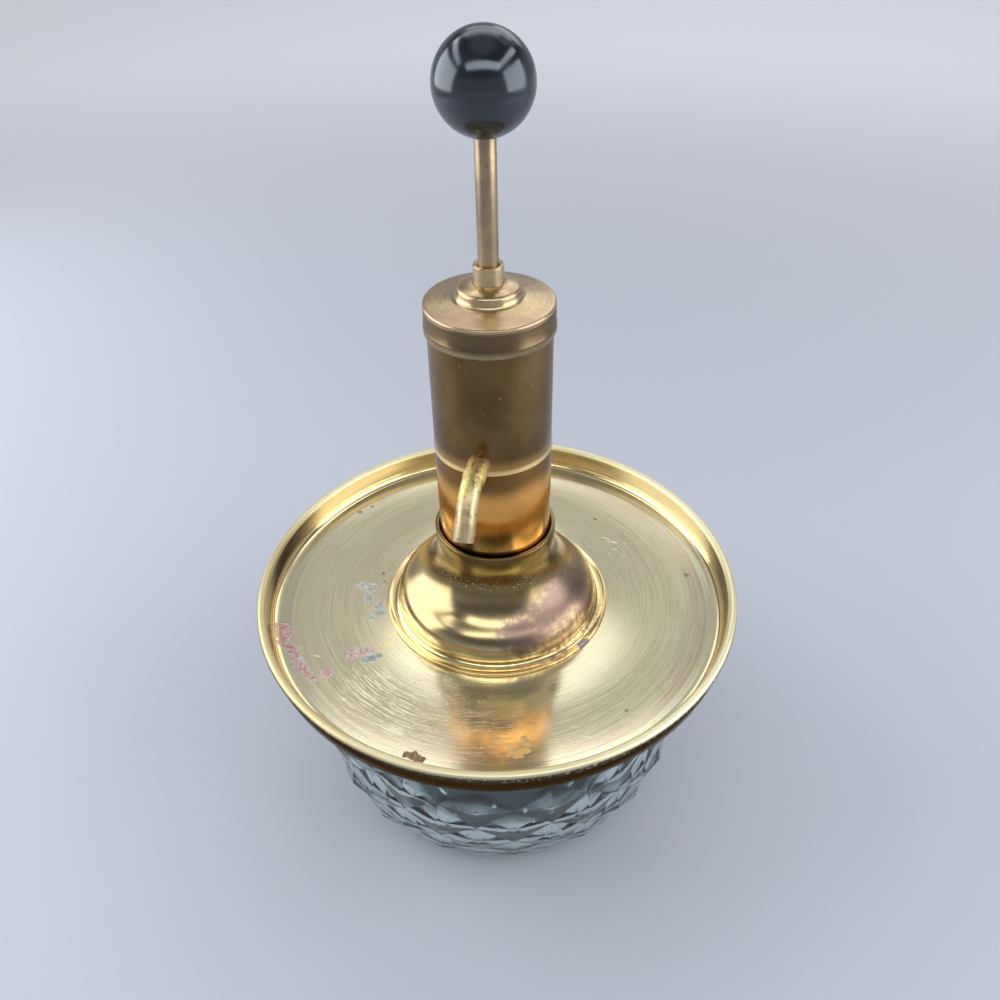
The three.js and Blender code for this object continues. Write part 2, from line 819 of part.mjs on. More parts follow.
function plungerRod() {
  const groove = rod_radius - clip_groove;
  const rod = turned([
    [0, rod_foot],
    [thread_radius, rod_foot],
    [thread_radius, piston_top + seat_gap],
    [rod_radius, piston_top + seat_gap],
    [rod_radius, clip_foot - seat_gap],
    [groove, clip_foot - seat_gap],
    [groove, clip_top + seat_gap],
    [rod_radius, clip_top + seat_gap],
    [rod_radius, rod_top],
    [0, rod_top],
  ], part_sides);
  return cut(rod, crossPin(collar_pin_radius + seat_gap, 2 * rod_radius, collar_middle));
}

addPiece(plunger, 'plunger_rod', plungerRod(), brass_aged);

// Ball knob, moulded round a brass insert

function ballKnob() {
  const socket = insert_radius + seat_gap;
  const face = -Math.acos((socket + insert_rim) / knob_radius);
  return turned([
    [0, rod_top + insert_head + seat_gap],
    [socket, rod_top + insert_head + seat_gap],
    [socket, knob_height + knob_radius * Math.sin(face)],
    ...arc([0, knob_height], knob_radius, face, quarter, 11).slice(0, -1),
    [0, knob_height + knob_radius],
  ], part_sides);
}

addPiece(plunger, 'ball_knob', ballKnob(), knob_black);

function knobInsert() {
  const face = Math.sqrt(knob_radius ** 2 - (insert_radius + insert_rim) ** 2);
  const bore = rod_radius + running_gap;
  return turned([
    [0, rod_top + seat_gap],
    [bore, rod_top + seat_gap],
    [bore, knob_height - face],
    [insert_radius, knob_height - face],
    [insert_radius, rod_top + insert_head],
    [0, rod_top + insert_head],
  ], part_sides);
}

addPiece(plunger, 'knob_insert', knobInsert(), brass_polished);

// Spring collar under the bush, pinned through the rod

function springCollar() {
  const ring = plainRing(rod_radius + running_gap, collar_radius, collar_foot, collar_top, part_sides);
  return cut(ring, crossPin(collar_pin_radius + seat_gap, collar_radius + cut_overrun, collar_middle));
}

addPiece(plunger, 'spring_collar', springCollar(), brass_turned);
addPiece(plunger, 'collar_pin', crossPin(collar_pin_radius, collar_radius, collar_middle), steel_bright);

// Return spring: a compression spring with closed ends

class SpringCurve extends THREE.Curve {
  constructor(low, high) {
    super();
    this.low = low;
    this.high = high;
  }

  getPoint(share, target = new THREE.Vector3()) {
    const turn = share * spring_turns;
    const closed_rise = 2 * spring_wire + seat_gap;
    const rise_low = closed_rise * Math.min(turn, spring_end_turns);
    const rise_high = closed_rise * Math.max(turn - spring_turns + spring_end_turns, 0);
    const open_turns = spring_turns - 2 * spring_end_turns;
    const open_rise = this.high - this.low - 2 * closed_rise * spring_end_turns;
    const open_share = THREE.MathUtils.clamp((turn - spring_end_turns) / open_turns, 0, 1);
    const angle = 2 * Math.PI * turn;
    const height = this.low + rise_low + rise_high + open_rise * open_share;
    return target.set(spring_radius * Math.cos(angle), spring_radius * Math.sin(angle), height);
  }
}

const spring_low = seat_top + seat_gap + spring_wire;
const spring_high = collar_foot - seat_gap - spring_wire;
const spring_curve = new SpringCurve(spring_low, spring_high);

// The wire is laid point by point, so that its sides stay upright all the way round.
function springWire() {
  const steps = spring_turns * spring_steps;
  const places = [];
  const faces = [];
  for (let i = 0; i <= steps; i += 1) {
    const middle = spring_curve.getPoint(i / steps);
    const outward = new THREE.Vector3(middle.x, middle.y, 0).normalize();
    for (let side = 0; side < wire_sides; side += 1) {
      const angle = (2 * Math.PI * side) / wire_sides;
      const point = middle.clone().addScaledVector(outward, spring_wire * Math.cos(angle));
      places.push(point.x, point.y, point.z + spring_wire * Math.sin(angle));
    }
  }
  for (let i = 0; i < steps; i += 1) {
    for (let side = 0; side < wire_sides; side += 1) {
      const next = (side + 1) % wire_sides;
      const [a, b] = [i * wire_sides + side, i * wire_sides + next];
      faces.push(a, b + wire_sides, b, a, a + wire_sides, b + wire_sides);
    }
  }
  for (let side = 1; side < wire_sides - 1; side += 1) {
    const last = steps * wire_sides;
    faces.push(0, side, side + 1, last, last + side + 1, last + side);
  }
  const wire = new THREE.BufferGeometry();
  wire.setAttribute('position', new THREE.Float32BufferAttribute(places, 3));
  wire.setIndex(faces);
  return closed(wire);
}

addPiece(pump, 'return_spring', springWire(), steel_bright);

// Piston: a drilled body in a leather cup, with a flap valve on top

function pistonPorts(low, high) {
  return ringOfDrills(port_count, port_circle, port_radius, low - cut_overrun, high + cut_overrun);
}

const piston_foot = piston_top - piston_thickness;
const piston_bore = thread_radius + running_gap;
const piston_body = plainRing(piston_bore, piston_radius, piston_foot, piston_top, part_sides);
addPiece(plunger, 'piston_body', cut(piston_body, ...pistonPorts(piston_foot, piston_top)), brass_turned);

function pistonCup() {
  const floor_top = piston_foot - seat_gap;
  const floor_foot = floor_top - cup_wall;
  const radius = barrel_bore - cup_gap;
  const lip = piston_top + cup_lip_rise;
  const cup = turnedRing([
    [piston_bore, floor_foot],
    [radius - cup_wall / 2, floor_foot],
    [radius, floor_foot + cup_wall / 2],
    [radius, lip],
    [radius - cup_wall / 2, lip],
    [radius - cup_wall, lip - cup_wall / 2],
    [radius - cup_wall, floor_top],
    [piston_bore, floor_top],
  ], column_sides);
  return cut(cup, ...pistonPorts(floor_foot, floor_top));
}

addPiece(plunger, 'piston_cup', pistonCup(), leather_tan);

const retainer = plainRing(
  piston_bore, retainer_radius, retainer_foot, retainer_foot + retainer_thickness, part_sides,
);
const retainer_ports = pistonPorts(retainer_foot, retainer_foot + retainer_thickness);
addPiece(plunger, 'cup_retainer', cut(retainer, ...retainer_ports), brass_turned);

const piston_nut = hexNut(
  piston_nut_flats, piston_bore, piston_nut_foot, piston_nut_foot + piston_nut_thickness,
);
addPiece(plunger, 'piston_nut', piston_nut, brass_turned);

const flap_foot = piston_top + seat_gap;
const flap = plainRing(rod_radius + slip_gap, flap_radius, flap_foot, flap_foot + flap_thickness, part_sides);
addPiece(plunger, 'piston_flap', flap, leather_tan);

// The clip is a split ring in the rod's groove, and stops the flap.
function flapClip() {
  const ring = plainRing(rod_radius - clip_groove + seat_gap, clip_radius, clip_foot, clip_top, part_sides);
  const gap = new THREE.BoxGeometry(2 * clip_radius, clip_radius, 2 * clip_radius);
  gap.translate(clip_radius + thread_radius / 2, 0, clip_foot);
  return cut(ring, gap);
}

addPiece(plunger, 'flap_clip', flapClip(), steel_bright);

export default decanter;
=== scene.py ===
"""A pump decanter: a diamond-cut glass bowl under a brass tray, with a lift pump and a black ball knob."""

import json
import math
import random
from functools import reduce

import bpy
from mathutils import Matrix, Vector


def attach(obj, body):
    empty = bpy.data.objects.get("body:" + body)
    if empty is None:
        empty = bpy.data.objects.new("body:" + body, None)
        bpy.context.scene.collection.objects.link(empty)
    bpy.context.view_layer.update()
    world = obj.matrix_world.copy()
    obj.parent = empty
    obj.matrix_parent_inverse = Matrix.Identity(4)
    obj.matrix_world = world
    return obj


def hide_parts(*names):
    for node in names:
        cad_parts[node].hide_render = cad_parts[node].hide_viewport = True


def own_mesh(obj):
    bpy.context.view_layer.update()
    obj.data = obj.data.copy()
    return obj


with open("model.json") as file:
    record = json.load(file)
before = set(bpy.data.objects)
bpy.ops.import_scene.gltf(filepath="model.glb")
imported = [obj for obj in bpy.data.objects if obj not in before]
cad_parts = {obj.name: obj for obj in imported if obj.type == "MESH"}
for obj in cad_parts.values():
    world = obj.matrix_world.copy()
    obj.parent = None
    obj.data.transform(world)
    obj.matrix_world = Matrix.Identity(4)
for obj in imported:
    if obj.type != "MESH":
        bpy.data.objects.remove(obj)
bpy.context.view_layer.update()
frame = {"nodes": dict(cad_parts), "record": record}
mm = 0.001

# Camera
# A phone held above the front of the tray, a little to the right of the spout, looking down at it.

lens = 32.62
sensor = 36
camera_place = Vector((65.18, -272.81, 380.3)) * mm
camera_right = Vector((0.97718, 0.21174, -0.0169))
camera_up = Vector((-0.11934, 0.61308, 0.78095))

bpy.ops.object.select_all(action="DESELECT")
bpy.ops.object.camera_add(location=camera_place)
camera = bpy.context.object
camera.data.lens = lens
camera.data.sensor_width = sensor
camera.data.clip_start = 0.01
facing = Matrix((camera_right, camera_up, camera_right.cross(camera_up))).transposed()
camera.rotation_euler = facing.to_euler()
bpy.context.scene.camera = camera

# Floor, lamps and world
# A plain pale surface, and soft boxes behind, to the left, to the right and above.

bpy.context.scene.view_settings.view_transform = "Standard"


def feed(tree, node, inputs):
    """Links each named input to a socket, or sets it to a value."""
    for name, value in inputs.items():
        if isinstance(value, bpy.types.NodeSocket):
            tree.links.new(value, node.inputs[name])
        else:
            node.inputs[name].default_value = value


def add_node(tree, kind, settings=None, inputs=None):
    made = tree.nodes.new(kind)
    for name, value in (settings or {}).items():
        setattr(made, name, value)
    feed(tree, made, inputs or {})
    return made


def new_material(name):
    """A material with its node tree and its Principled shader."""
    made = bpy.data.materials.new(name)
    made.use_nodes = True
    return made, made.node_tree, made.node_tree.nodes["Principled BSDF"]


def set_inputs(tree, node, **values):
    """Feeds inputs whose names are written with underscores for spaces."""
    feed(tree, node, {name.replace("_", " "): value for name, value in values.items()})


def own_place(tree):
    return add_node(tree, "ShaderNodeTexCoord").outputs["Object"]


def axes(tree, vector):
    return add_node(tree, "ShaderNodeSeparateXYZ", {}, {"Vector": vector}).outputs


def maths(tree, operation, *values):
    return add_node(tree, "ShaderNodeMath", {"operation": operation}, dict(enumerate(values))).outputs[0]


def chained(operation):
    """A function that joins two or more numbers or sockets, from the first one on."""
    return lambda tree, *values: reduce(lambda one, other: maths(tree, operation, one, other), values)


times, plus, minus, most = (chained(name) for name in ("MULTIPLY", "ADD", "SUBTRACT", "MAXIMUM"))


def vector_maths(tree, operation, *values, output="Vector"):
    made = add_node(tree, "ShaderNodeVectorMath", {"operation": operation}, dict(enumerate(values)))
    return made.outputs[output]


def from_axis(tree, vector):
    """The distance from the pump's axis."""
    return vector_maths(tree, "LENGTH", vector_maths(tree, "MULTIPLY", vector, (1, 1, 0)), output="Value")


def span(tree, value, low, high, to_low=0.0, to_high=1.0):
    """A value brought smoothly from one range to another."""
    inputs = {"Value": value, "From Min": low, "From Max": high, "To Min": to_low, "To Max": to_high}
    return add_node(tree, "ShaderNodeMapRange", {"interpolation_type": "SMOOTHSTEP"}, inputs).outputs["Result"]


def band_of(tree, value, start, full, still, end):
    """1 from full to still, and 0 before start and after end."""
    return times(tree, span(tree, value, start, full), span(tree, value, end, still))


def noise(tree, vector, scale, detail=3, roughness=0.5):
    inputs = {"Vector": vector, "Scale": scale, "Detail": detail, "Roughness": roughness}
    return add_node(tree, "ShaderNodeTexNoise", {}, inputs).outputs["Fac"]


def bumped(tree, shader, height, strength, distance):
    inputs = {"Height": height, "Strength": strength, "Distance": distance}
    set_inputs(tree, shader, Normal=add_node(tree, "ShaderNodeBump", {}, inputs).outputs["Normal"])


floor_size = 8
floor_colour, floor_glow = (0.53, 0.545, 0.60, 1), (0.84, 0.86, 0.91, 1)
glow_from, glow_to, glow_strength = 0.25, 1.6, 0.46

bpy.ops.mesh.primitive_plane_add(size=floor_size)
floor = bpy.context.object
floor.name = "floor"
floor_paper, tree, shader = new_material("floor_paper")
at = own_place(tree)
bumped(tree, shader, noise(tree, at, 900, 2), 0.08, 0.0003)
far_off = span(tree, vector_maths(tree, "LENGTH", at, output="Value"), glow_from, glow_to)
rays = add_node(tree, "ShaderNodeLightPath").outputs
seen = most(tree, rays["Is Camera Ray"], rays["Is Glossy Ray"], rays["Is Transmission Ray"])
set_inputs(tree, shader, Base_Color=floor_colour, Roughness=0.6, Emission_Color=floor_glow,
           Emission_Strength=times(tree, far_off, seen, glow_strength))
floor.data.materials.append(floor_paper)

lamp_target = Vector((0, 0, 0.14))
cool_white = (0.93, 0.96, 1)


def soft_box(name, place, width, height, radiance):
    """A rectangular lamp that faces the object, with the brightness of its surface."""
    place = Vector(place)
    bpy.ops.object.light_add(type="AREA", location=place)
    lamp = bpy.context.object
    lamp.name = name
    lamp.rotation_euler = (place - lamp_target).to_track_quat("Z", "Y").to_euler()
    lamp.data.shape = "RECTANGLE"
    lamp.data.size = width
    lamp.data.size_y = height
    lamp.data.energy = radiance * math.pi * width * height
    lamp.data.color = cool_white


# Four boxes behind, one above another, a box at each side, and four strips that form a square
# ring overhead.
soft_box("lamp_low", (0.45, 2.4, 1.36), 1.3, 0.5, 1.55)
soft_box("lamp_far", (-0.10, 2.4, 1.92), 2.4, 0.60, 1.2)
soft_box("lamp_sky", (0, 1.6, 2.1), 2.8, 1.5, 0.37)
soft_box("lamp_back", (-0.15, 0.60, 1.12), 0.75, 0.30, 1.12)
soft_box("lamp_left", (-0.78, -0.05, 0.44), 0.90, 0.62, 3.1)
soft_box("lamp_right", (0.82, -0.02, 0.44), 0.80, 0.62, 2.9)
soft_box("lamp_ring_front", (0.10, -0.48, 0.84), 0.95, 0.20, 3.4)
soft_box("lamp_ring_back", (-0.12, 0.47, 0.84), 0.95, 0.06, 1.5)
soft_box("lamp_ring_left", (-0.54, 0.02, 0.84), 0.86, 0.12, 3.0)
soft_box("lamp_ring_right", (0.54, 0.02, 0.84), 0.86, 0.12, 3.0)

# The world is pale near the horizon and overhead, and darker between them.
horizon, overhead, between = 0.50, 0.30, 0.15
world = bpy.data.worlds.new("studio")
bpy.context.scene.world = world
world.use_nodes = True
tree = world.node_tree
upward = axes(tree, add_node(tree, "ShaderNodeTexCoord").outputs["Generated"])["Z"]
low_light = span(tree, upward, 0.2, 0.5, horizon, between)
high_light = span(tree, upward, 0.88, 0.97, 0, overhead)
set_inputs(tree, tree.nodes["Background"], Color=(0.80, 0.86, 1, 1), Strength=plus(tree, low_light, high_light))

# Shared finishes of the brass
# Brushing marks, cloudy toning, small specks and the ragged spots of corrosion.


def new_group(name, inputs, output):
    """A shader node group with named inputs and one output."""
    made = bpy.data.node_groups.new(name, "ShaderNodeTree")
    for socket, kind, value in inputs:
        entry = made.interface.new_socket(name=socket, in_out="INPUT", socket_type=kind)
        if value is not None:
            entry.default_value = value
    made.interface.new_socket(name=output, in_out="OUTPUT", socket_type="NodeSocketFloat")
    source = made.nodes.new("NodeGroupInput")
    result = made.nodes.new("NodeGroupOutput")
    return made, source.outputs, result.inputs[output]


def blend(tree, factor, first, second):
    """A colour mixed from two, each a colour or a socket."""
    settings = {"data_type": "RGBA", "clamp_factor": True}
    inputs = {0: factor, 6: first, 7: second}
    return add_node(tree, "ShaderNodeMix", settings, inputs).outputs[2]


# Marks that run round the axis where Along is the larger, and along it where Across is.
brushing, given, result = new_group("brushing", [
    ("Vector", "NodeSocketVector", None),
    ("Across", "NodeSocketFloat", 3.0),
    ("Along", "NodeSocketFloat", 1500.0),
], "Marks")
flat = vector_maths(brushing, "MULTIPLY", given["Vector"], (1, 1, 0))
around = axes(brushing, vector_maths(brushing, "NORMALIZE", flat))
path = plus(brushing, from_axis(brushing, given["Vector"]), axes(brushing, given["Vector"])["Z"])
marks_at = add_node(brushing, "ShaderNodeCombineXYZ", {}, {
    "X": times(brushing, around["X"], given["Across"]),
    "Y": times(brushing, around["Y"], given["Across"]),
    "Z": times(brushing, path, given["Along"]),
}).outputs["Vector"]
brushing.links.new(noise(brushing, marks_at, 1, 3, 0.65), result)

# How far a place lies from a spot's centre, as a share of its reach, made ragged by a wander.
spot, given, result = new_group("spot_share", [
    ("Vector", "NodeSocketVector", None),
    ("Centre", "NodeSocketVector", None),
    ("Reach", "NodeSocketFloat", 0.004),
    ("Wander", "NodeSocketFloat", 0.0),
], "Share")
away = vector_maths(spot, "DISTANCE", given["Vector"], given["Centre"], output="Value")
spot.links.new(plus(spot, maths(spot, "DIVIDE", away, given["Reach"]), given["Wander"]), result)

# Scattered specks: the middles of some Voronoi cells.
specks, given, result = new_group("specks", [
    ("Vector", "NodeSocketVector", None),
    ("Scale", "NodeSocketFloat", 300.0),
    ("Size", "NodeSocketFloat", 0.18),
    ("Share", "NodeSocketFloat", 0.2),
], "Mask")
cells = add_node(specks, "ShaderNodeTexVoronoi", {}, {"Vector": given["Vector"], "Scale": given["Scale"]})
chosen = add_node(specks, "ShaderNodeSeparateColor", {}, {"Color": cells.outputs["Color"]}).outputs["Red"]
picked = maths(specks, "LESS_THAN", chosen, given["Share"])
dot = span(specks, cells.outputs["Distance"], given["Size"], 0.0)
specks.links.new(times(specks, dot, picked), result)


def from_group(tree, group, **values):
    return add_node(tree, "ShaderNodeGroup", {"node_tree": group}, values).outputs[0]


def brass(name, clean, toned, roughness, across, along, toning_scale=25, toning_share=0.5,
          mark_depth=0.00001, speck_share=0.08):
    """Brass that is brushed one way, toned in clouds, and dotted with small dark specks."""
    made, tree, shader = new_material(name)
    at = own_place(tree)
    marks = from_group(tree, brushing, Vector=at, Across=across, Along=along)
    cloud = noise(tree, at, toning_scale, 5, 0.6)
    toning = span(tree, cloud, 1 - toning_share - 0.18, 1 - toning_share + 0.18)
    dots = from_group(tree, specks, Vector=at, Scale=260.0, Size=0.16, Share=speck_share)
    colour = blend(tree, dots, blend(tree, toning, clean, toned), (0.05, 0.035, 0.02, 1))
    brushed = span(tree, marks, 0.25, 0.75, roughness * 0.75, roughness * 1.3)
    rough = plus(tree, brushed, times(tree, toning, 0.08))
    bumped(tree, shader, marks, 0.5, mark_depth)
    set_inputs(tree, shader, Base_Color=colour, Roughness=rough, Metallic=1.0)
    return made, tree, shader, at, colour, rough


merge_distance = 0.003 * mm


def close_up():
    """In edit mode, merges what meets and turns every face outward."""
    bpy.ops.mesh.select_all(action="SELECT")
    bpy.ops.mesh.remove_doubles(threshold=merge_distance)
    bpy.ops.mesh.normals_make_consistent(inside=False)


def turned(name, outline, sides):
    """A lathe piece: the outline is extruded point by point and spun about the axis."""
    points = [Vector((radius * mm, 0, height * mm)) for radius, height in outline]
    bpy.ops.object.select_all(action="DESELECT")
    bpy.ops.mesh.primitive_plane_add(size=mm, location=points[0])
    bpy.ops.object.transform_apply(location=True)
    piece = bpy.context.object
    piece.name = piece.data.name = name
    bpy.ops.object.mode_set(mode="EDIT")
    bpy.ops.mesh.select_mode(type="VERT")
    bpy.ops.mesh.select_all(action="SELECT")
    bpy.ops.mesh.merge(type="CENTER")
    for last, point in zip(points, points[1:]):
        bpy.ops.mesh.extrude_vertices_move(TRANSFORM_OT_translate={"value": tuple(point - last)})
    bpy.ops.mesh.select_all(action="SELECT")
    bpy.ops.mesh.spin(steps=sides, angle=2 * math.pi, center=(0, 0, 0), axis=(0, 0, 1))
    close_up()
    bpy.ops.object.mode_set(mode="OBJECT")
    return piece


def ring(name, inner, outer, low, high, sides):
    """A plain ring of rectangular section."""
    return turned(name, [(inner, low), (outer, low), (outer, high), (inner, high), (inner, low)], sides)


def soften(piece, width, segments=3, angle=25):
    """Rounds every edge sharper than an angle, and shades the rest smoothly."""
    bpy.ops.object.modifier_add(type="BEVEL")
    bevel = piece.modifiers[-1]
    bevel.width = width * mm
    bevel.segments = segments
    bevel.limit_method = "ANGLE"
    bevel.angle_limit = math.radians(angle)
    bpy.ops.object.modifier_apply(modifier=bevel.name)
    bpy.ops.object.shade_smooth_by_angle(angle=math.radians(40))


def arc(centre, size, start, end, steps):
    """Outline points of an arc about (radius, height), from one angle to another in degrees."""
    turns = [math.radians(start + (end - start) * i / steps) for i in range(steps + 1)]
    return [(centre[0] + size * math.cos(a), centre[1] + size * math.sin(a)) for a in turns]


def fit(piece, material, body, slot, *nodes):
    """Gives a piece its finish and its body, and lets it stand for its CAD solids."""
    piece.data.materials.clear()
    piece.data.materials.append(material)
    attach(piece, body)
    if nodes:
        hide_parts(*nodes)


# Glass bowl
# Thick clear pressed glass. Its belt is cut with diamonds: straight mitre cuts cross at every second
# point of each row, and each diamond between them is a low pyramid. Inside it is smooth.

diamonds, rows = 16, 7
columns = 2 * diamonds
row_heights = [8.1 + 10.65 * row for row in range(rows)]
bowl_radius, waist, depth_below, depth_above = 79.6, 48.0, 65, 75
diamond_rise, end_row_share, cut_softness = 3.2, 0.35, 0.28
bowl_turn = 5.45
bowl_sides = 128


def bowl_radius_at(height):
    reach = depth_below if height < waist else depth_above
    return bowl_radius * math.sqrt(1 - ((height - waist) / reach) ** 2)


def choose(piece, kind, wanted):
    """In edit mode, selects the vertices, edges or faces for which wanted(...) is true."""
    bpy.ops.mesh.select_all(action="DESELECT")
    bpy.ops.mesh.select_mode(type=kind)
    bpy.ops.object.mode_set(mode="OBJECT")
    elements = {"VERT": piece.data.vertices, "EDGE": piece.data.edges, "FACE": piece.data.polygons}[kind]
    for element in elements:
        element.select = wanted(element)
    bpy.ops.object.mode_set(mode="EDIT")


def lattice_place(point):
    """The column and row of a point of the belt."""
    angle = math.degrees(math.atan2(point.y, point.x)) % 360
    column = round(angle / (360 / columns)) % columns
    row = min(range(rows), key=lambda i: abs(row_heights[i] - point.z / mm))
    return column, row


bpy.ops.object.select_all(action="DESELECT")
bpy.ops.mesh.primitive_circle_add(vertices=columns, radius=bowl_radius_at(row_heights[0]) * mm,
                                  location=(0, 0, row_heights[0] * mm))
bpy.ops.object.transform_apply(location=True)
glass_belt = bpy.context.object
glass_belt.name = glass_belt.data.name = "cut_glass_bowl"
bpy.ops.transform.rotate(value=math.radians(90), orient_axis="Z", center_override=(0, 0, 0))
bpy.ops.object.transform_apply(rotation=True)
bpy.ops.object.mode_set(mode="EDIT")
bpy.ops.mesh.select_all(action="SELECT")
for low, high in zip(row_heights, row_heights[1:]):
    grow = bowl_radius_at(high) / bowl_radius_at(low)
    bpy.ops.mesh.extrude_region_move(TRANSFORM_OT_translate={"value": (0, 0, (high - low) * mm)})
    bpy.ops.transform.resize(value=(grow, grow, 1), center_override=(0, 0, high * mm))

for row, height in enumerate(row_heights):
    rise = diamond_rise * (1 if 0 < row < rows - 1 else end_row_share)
    near = [bowl_radius_at(row_heights[i]) for i in (max(row - 1, 0), min(row + 1, rows - 1))]
    base = (2 * math.cos(math.pi / diamonds) * bowl_radius_at(height) + sum(near)) / 4
    grow = (base + rise) / bowl_radius_at(height)
    choose(glass_belt, "VERT",
           lambda v, row=row: lattice_place(v.co)[1] == row and sum(lattice_place(v.co)) % 2 == 1)
    bpy.ops.transform.resize(value=(grow, grow, 1), center_override=(0, 0, height * mm))


def is_crossing(point):
    column, row = lattice_place(point)
    near = bowl_radius_at(row_heights[row]) * mm
    return (column + row) % 2 == 0 and abs(math.hypot(point.x, point.y) - near) < 0.05 * mm


choose(glass_belt, "VERT", lambda v: is_crossing(v.co))
bpy.ops.mesh.vert_connect()
points = glass_belt.data.vertices


def is_mitre(edge):
    ends = [points[i].co for i in edge.vertices]
    rows = [lattice_place(end)[1] for end in ends]
    return all(is_crossing(end) for end in ends) and rows[0] != rows[1]


choose(glass_belt, "EDGE", is_mitre)
bpy.ops.mesh.bevel(offset=cut_softness * mm, segments=2, profile=0.6)
bpy.ops.object.mode_set(mode="OBJECT")

shoulder_foot, shoulder_rise, neck_radius, mouth_radius = 71.2, 16, 46, 40.5
collar = bowl_radius_at(row_heights[-1])
shoulder = [(49 + (collar - 49.6) * math.cos(math.radians(a)),
             shoulder_foot + 1 + (shoulder_rise - 1) * math.sin(math.radians(a))) for a in range(10, 91, 8)]
inside_wall = [(bowl_radius_at(h) - 6, h) for h in range(80, 20, -4)]
glass_foot = turned("bowl_body", [
    (62.9, 6.6), (62.4, 5.4), (59.6, 2.2), (57, 0), (43, 0), (41.6, 1.4), (0, 1.4),
], bowl_sides)
upper_body = turned("bowl_neck", [
    *shoulder, (neck_radius, 90.2), (neck_radius, 100), (neck_radius - 1.2, 101.2), (mouth_radius + 1.2, 101.2),
    (mouth_radius, 100), (mouth_radius, 86), (44, 83.2), (55, 82.4), *inside_wall,
    *arc((bowl_radius_at(18.75) - 21, 22), 15, -10, -90, 8), (0, 7),
], bowl_sides)

# The thread is a rounded ridge that climbs round the neck.
thread_size, thread_height, thread_pitch, thread_turns = 0.9, 91.6, 6, 1.5
bpy.ops.object.select_all(action="DESELECT")
bpy.ops.mesh.primitive_circle_add(vertices=10, radius=thread_size * mm, rotation=(math.radians(90), 0, 0),
                                  location=((neck_radius + 0.1) * mm, 0, thread_height * mm))
bpy.ops.object.transform_apply(location=True, rotation=True)
thread = bpy.context.object
bpy.ops.object.modifier_add(type="SCREW")
climb = thread.modifiers[-1]
climb.angle = math.radians(360 * thread_turns)
climb.screw_offset = thread_pitch * mm
climb.steps = climb.render_steps = 144
climb.use_merge_vertices = True
bpy.ops.object.modifier_apply(modifier=climb.name)
bpy.ops.object.mode_set(mode="EDIT")
bpy.ops.mesh.select_mode(type="VERT")
bpy.ops.mesh.select_all(action="SELECT")
bpy.ops.mesh.fill_holes(sides=0)
bpy.ops.mesh.normals_make_consistent(inside=False)
bpy.ops.object.mode_set(mode="OBJECT")
bpy.ops.object.select_all(action="DESELECT")
for part in (glass_belt, glass_foot, upper_body, thread):
    part.select_set(True)
bpy.context.view_layer.objects.active = glass_belt
bpy.ops.object.join()
bowl = glass_belt

# The belt is bridged to the foot below it and to the shoulder above it.
bpy.ops.object.mode_set(mode="EDIT")
for low, high in ((5.5, 9), (70, 75)):
    bpy.ops.mesh.select_mode(type="EDGE")
    bpy.ops.mesh.select_all(action="DESELECT")
    bpy.ops.mesh.select_non_manifold(extend=False, use_wire=False, use_multi_face=False,
                                     use_non_contiguous=False, use_verts=False)
    bpy.ops.object.mode_set(mode="OBJECT")
    spots = bowl.data.vertices
    for edge in bowl.data.edges:
        middle = (spots[edge.vertices[0]].co.z + spots[edge.vertices[1]].co.z) / 2 / mm
        edge.select = edge.select and low < middle < high
    bpy.ops.object.mode_set(mode="EDIT")
    bpy.ops.mesh.bridge_edge_loops()
close_up()
bpy.ops.transform.rotate(value=math.radians(-bowl_turn), orient_axis="Z", center_override=(0, 0, 0))
bpy.ops.object.mode_set(mode="OBJECT")
bpy.ops.object.select_all(action="DESELECT")
bowl.select_set(True)
bpy.ops.object.shade_smooth_by_angle(angle=math.radians(7))

bowl_glass, tree, shader = new_material("cut_glass")
at = own_place(tree)
bumped(tree, shader, noise(tree, at, 55, 2), 0.35, 0.0006)
smear = span(tree, noise(tree, at, 30, 4), 0.35, 0.75, 0.07, 0.14)
set_inputs(tree, shader, Base_Color=(0.70, 0.79, 0.79, 1), Metallic=0.0, IOR=1.5, Transmission_Weight=1.0,
           Roughness=smear)
fit(bowl, bowl_glass, "bowl", "bowl_glass", "glass_bowl")

# Bubbles in the glass
# Small bubbles that were trapped in the wall when the bowl was pressed.

bubble_count, bubble_seed = 130, 7
random.seed(bubble_seed)
bubbles = []
bpy.ops.object.select_all(action="DESELECT")
for number in range(bubble_count):
    height = random.uniform(14, 66)
    angle = random.uniform(0, 2 * math.pi)
    depth = random.uniform(1.8, 4.5)
    radius = bowl_radius_at(height) - depth
    place = Vector((radius * math.cos(angle), radius * math.sin(angle), height)) * mm
    bpy.ops.mesh.primitive_ico_sphere_add(subdivisions=2, radius=random.uniform(0.4, 1.0) * mm, location=place)
    bubbles.append(bpy.context.object)
for bubble in bubbles:
    bubble.select_set(True)
bpy.ops.object.join()
bpy.ops.object.transform_apply(location=True)
bubbles = bpy.context.object
bubbles.name = bubbles.data.name = "glass_bubbles"
bpy.ops.object.shade_smooth()
bubble_glass, tree, shader = new_material("bubble_glass")
at = own_place(tree)
set_inputs(tree, shader, Base_Color=(0.94, 0.98, 1, 1), IOR=1.8, Metallic=0.45, Transmission_Weight=1.0,
           Roughness=span(tree, noise(tree, at, 200, 2), 0.3, 0.7, 0.0, 0.04))
fit(bubbles, bubble_glass, "bowl", "bowl_glass")

# Bowl gasket
# A flat rubber ring between the bowl's rim and the screw cap.

seal_rubber, tree, shader = new_material("seal_rubber")
at = own_place(tree)
dust = span(tree, noise(tree, at, 180, 4), 0.45, 0.75)
set_inputs(tree, shader, Base_Color=blend(tree, dust, (0.018, 0.018, 0.019, 1), (0.06, 0.058, 0.055, 1)),
           Roughness=span(tree, dust, 0, 1, 0.6, 0.85))
bumped(tree, shader, noise(tree, at, 2500, 2), 0.3, 0.00005)

